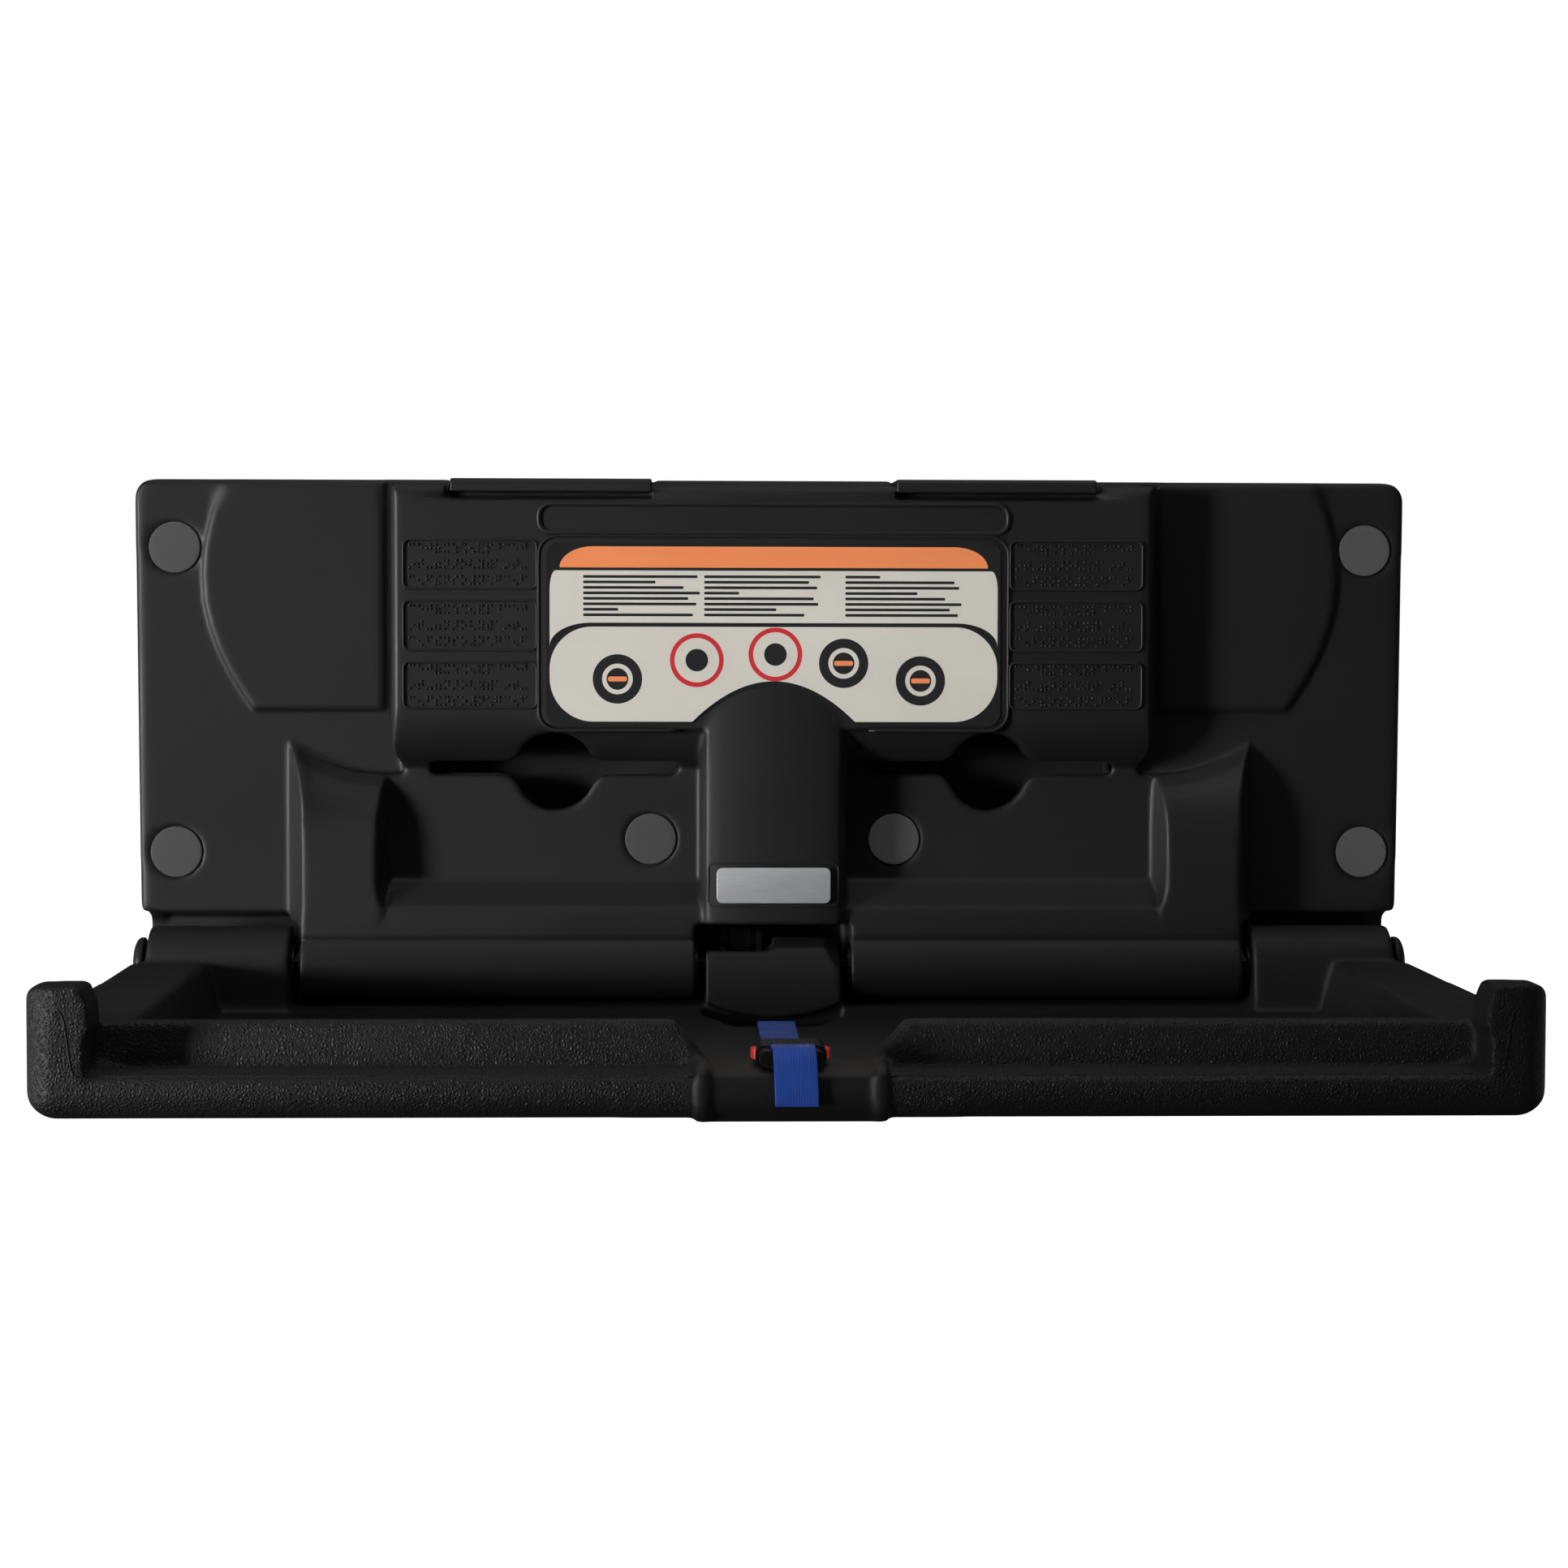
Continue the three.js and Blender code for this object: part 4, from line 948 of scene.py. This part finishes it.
bedForm = {
    "half": 447, "halfRear": 442, "front": 459, "bottom": -50.8, "cornerRadius": 18.5, "widensFrom": 33,
    "roundSide": (424, 432), "roundFront": (440, 446), "roundLow": (-44, -38), "roundIn": (90, 100),
    "roundShare": 0.5,
    "postHigh": 5, "postLow": 13, "postIn": (330, 394), "postOut": (402, 438), "postFront": (398, 408),
    "postFoot": (-4, 16),
    "grooveP": 423, "grooveZ": -21.5, "grooveReach": 7, "grooveBack": 2, "grooveDown": 3.2,
    "grooveOut": (392, 402), "grooveIn": (60, 66),
    "keelHalf": 72, "frontIn": (92, 104),
}


def bedRounder(x, p, z):
    # the outer corners and the long lower edges are the roundest
    side, form = abs(x), bedForm
    low = ramp(p, *form["roundFront"]) * (1 - ramp(z, *form["roundLow"])) * ramp(side, *form["roundIn"])
    return form["roundShare"] * max(ramp(side, *form["roundSide"]), low)


def bedShaper(x, p, z):
    side, sign, form = abs(x), math.copysign(1, x), bedForm
    # the corner posts are slimmer towards the front edge
    slim = ramp(side, *form["postIn"]) * (1 - ramp(side, *form["postOut"])) * ramp(p, *form["postFront"])
    low = 1 - ramp(z, *form["postFoot"])
    side += slim * (form["postHigh"] + (form["postLow"] - form["postHigh"]) * low)
    # a fine groove where the front ledge meets the rim's face
    groove = max(0, 1 - math.hypot(p - form["grooveP"], z - form["grooveZ"]) / form["grooveReach"])
    groove = groove * (1 - ramp(side, *form["grooveOut"])) * ramp(side, *form["grooveIn"])
    p, z = p - form["grooveBack"] * groove, z - form["grooveDown"] * groove
    # a large radius runs along the lower outer edges
    reach = form["cornerRadius"]
    edge = form["halfRear"] + (form["half"] - form["halfRear"]) * ramp(p, form["widensFrom"], form["front"])
    out = max(0, side - (edge - reach))
    ahead = max(0, p - (form["front"] - reach)) * ramp(side, *form["frontIn"])
    down = form["bottom"] + reach - z
    away = math.hypot(out, ahead, down)
    if side > form["keelHalf"] and down > 0 and away > reach:     # the keel between the beads stays
        share = reach / away
        side -= out * (1 - share)
        p -= ahead * (1 - share)
        z += down * (1 - share)
    return sign * side, p, z


bedMoulding = moulded("bedMoulding", "bed_shell", "bed", blackBed, bedSkin, bedRounder,
                      bedShaper)
bedFace = frontOf(bedMoulding)

partingLine = {
    "post": [(425.6, 15.7), (422.6, 12), (421.2, 7), (420.2, 0), (419.2, -8), (418.2, -15), (417.1, -21),
             (415.6, -23.4), (412.5, -24.5)],
    "level": -24.9, "end": 57.5, "width": 1.3, "proud": 0.55,
}


def makePartingLine():
    loops = []
    for sign in (-1, 1):
        path = [(sign * x, z) for x, z in partingLine["post"]]
        path.append((sign * partingLine["end"], partingLine["level"]))
        loops.append(evenly(path, 4, closed=False))
    points, faces = beadMesh(loops, bedFace, partingLine["width"], partingLine["proud"], closed=False,
                             facets=4)
    newPiece("bedPartingLine", points, faces, blackBed, "bed")


makePartingLine()
print("bed made")


# Strap and buckle

def smoothPath(points, per):
    # a smooth curve through all the points
    ends = [2 * Vector(points[0]) - Vector(points[1])] + [Vector(point) for point in points]
    ends.append(2 * ends[-1] - ends[-2])
    out = []
    for i in range(1, len(ends) - 2):
        a, b, c, d = ends[i - 1:i + 3]
        for k in range(per):
            t = k / per
            out.append(0.5 * (2 * b + (c - a) * t + (2 * a - 5 * b + 4 * c - d) * t ** 2
                              + (3 * b - a - 3 * c + d) * t ** 3))
    out.append(ends[-2])
    return out


def makeStrap(name, node, path, lean):
    half, thick = webbing["half"], webbing["thick"] / 2
    lie = [(half - thick) * (1 - 2 * k / 10) for k in range(11)]
    turns = [math.pi * k / 6 for k in range(1, 6)]      # the webbing's edges are half round
    section = [(u, thick) for u in lie]
    section += [(-(half - thick) - thick * math.sin(turn), thick * math.cos(turn)) for turn in turns]
    section += [(u, -thick) for u in reversed(lie)]
    section += [((half - thick) + thick * math.sin(turn), -thick * math.cos(turn)) for turn in turns]
    line = smoothPath(path, 8)
    points, faces = [], []
    for i, here in enumerate(line):
        ahead, behind = line[min(i + 1, len(line) - 1)], line[max(i - 1, 0)]
        along = (ahead - behind).normalized()
        middle = lean[0] + (lean[1] - lean[0]) * i / (len(line) - 1)
        for u, v in section:
            points.append(place(middle + u, here.x - along.y * v, here.y + along.x * v))
    count = len(section)
    for i in range(len(line) - 1):
        for k in range(count):
            a, b = i * count + k, i * count + (k + 1) % count
            faces.append((a, b, b + count, a + count))
    faces += [tuple(range(count)), tuple((len(line) - 1) * count + k for k in range(count))]
    strap = newPiece(name, points, faces, blueWebbing, "bed")
    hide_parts(node)


makeStrap("rearStrap", "strap_rear", webbing["rear"], (0, 0))
makeStrap("frontStrap", "strap_front", webbing["front"], webbing["frontLean"])

buckleEdges = {"socket": 0.6, "tongue": 0.5, "tab": 0.35}

bevelled("buckleSocket", "buckle_socket", "bed", blackBuckle, buckleEdges["socket"])
bevelled("buckleTongue", "buckle_tongue", "bed", blackBuckle, buckleEdges["tongue"])
for side in ("left", "right"):
    bevelled(f"releaseTab_{side}", f"release_tab_{side}", f"tab_{side}_body", tabRed,
             buckleEdges["tab"])
print("strap and buckle made")


# Nodes that stay as they are get their finishes

nodeFinishes = {
    "back_panel": spangledSteel, "hinge_rod": darkSteel, "crank_pin": zincSteel, "spring_pin": zincSteel,
    "spring_bracket": cylinderPaint, "spring_cylinder": cylinderPaint, "rod_yoke": cylinderPaint,
    "spring_rod": chromeRod,
}
for side in ("left", "right"):
    nodeFinishes[f"liner_bin_{side}"] = blackWall
    nodeFinishes[f"lid_pin_{side}"] = zincSteel
    nodeFinishes[f"crank_cheek_{side}"] = cylinderPaint
    for row in ("wall_bushing_inner", "wall_bushing_outer", "bed_bushing_inner", "bed_bushing_outer"):
        nodeFinishes[f"{row}_{side}"] = nylon
for name, material in nodeFinishes.items():
    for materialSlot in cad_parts[name].material_slots:
        materialSlot.material = material
print("frame nodes finished")


# Floor and white surroundings

surroundings = {
    "worldLight": 0.56,             # what the surroundings give as diffuse light
    "roomLight": 0.008,             # what shiny surfaces see of the dark room on the camera's side
    "backdropFrom": 0.1, "backdropTo": 0.5,     # the white backdrop's edge, in how far a ray points behind
    "highFrom": 0.7, "highTo": 0.95,            # and how far up
    "floorZ": -0.95, "floorHalf": 20, "floorColor": (0.86, 0.86, 0.86), "floorGlow": 0.8,
    "floorDark": (0.02, 0.02, 0.02),            # its colour for shiny surfaces, in front of the backdrop
    "glowFrom": 2.5, "glowTo": 6,               # metres behind the wall face
}


def seenPlainly(owner, path):
    return mathNode(owner, "MAXIMUM", path.outputs["Is Camera Ray"], path.outputs["Is Transmission Ray"])


def makeWorld():
    s = surroundings
    world = bpy.data.worlds.new("surroundings")
    scene.world = world
    world.use_nodes = True
    background = world.node_tree.nodes["Background"]
    background.inputs["Color"].default_value = (1, 1, 1, 1)
    path = addNode(world, "ShaderNodeLightPath")
    # shiny surfaces see the white backdrop above and behind the station and the dark room in front of it
    direction = addNode(world, "ShaderNodeTexCoord").outputs["Generated"]
    ray = addNode(world, "ShaderNodeSeparateXYZ", {0: direction})
    high = step(world, ray.outputs["Z"], s["highFrom"], s["highTo"])
    raised = mathNode(world, "MULTIPLY", ray.outputs["Y"], high)
    backdrop = mapped(world, raised, s["roomLight"], 1, s["backdropFrom"], s["backdropTo"])
    level = mapped(world, seenPlainly(world, path), s["worldLight"], 1, 0, 1)
    sources = {"Factor": path.outputs["Is Glossy Ray"], "A": level, "B": backdrop}
    strength = addNode(world, "ShaderNodeMix", sources).outputs["Result"]
    world.node_tree.links.new(strength, background.inputs["Strength"])


def makeFloor():
    s = surroundings
    mesh = bpy.data.meshes.new("floor")
    build = bmesh.new()
    bmesh.ops.create_grid(build, x_segments=1, y_segments=1, size=s["floorHalf"])
    build.to_mesh(mesh)
    build.free()
    floor = bpy.data.objects.new("floor", mesh)
    scene.collection.objects.link(floor)
    floor.location.z = s["floorZ"]
    pale = plainMaterial("floor white", s["floorColor"], 0.9, **{"Specular IOR Level": 0.1})
    shaderOf(pale).inputs["Emission Color"].default_value = (1, 1, 1, 1)
    path = addNode(pale, "ShaderNodeLightPath")
    split = addNode(pale, "ShaderNodeSeparateXYZ", {"Vector": objectPlace(pale)})
    behind = step(pale, split.outputs["Y"], s["glowFrom"], s["glowTo"])
    mirrored = mathNode(pale, "MULTIPLY", path.outputs["Is Glossy Ray"], behind)
    lit = mathNode(pale, "MAXIMUM", seenPlainly(pale, path), mirrored)
    feed(pale, "Emission Strength", mathNode(pale, "MULTIPLY", lit, s["floorGlow"]))
    dimmed = mathNode(pale, "SUBTRACT", path.outputs["Is Glossy Ray"], mirrored)
    blendColors(pale, dimmed, s["floorColor"], s["floorDark"])
    mesh.materials.append(pale)


makeWorld()
makeFloor()
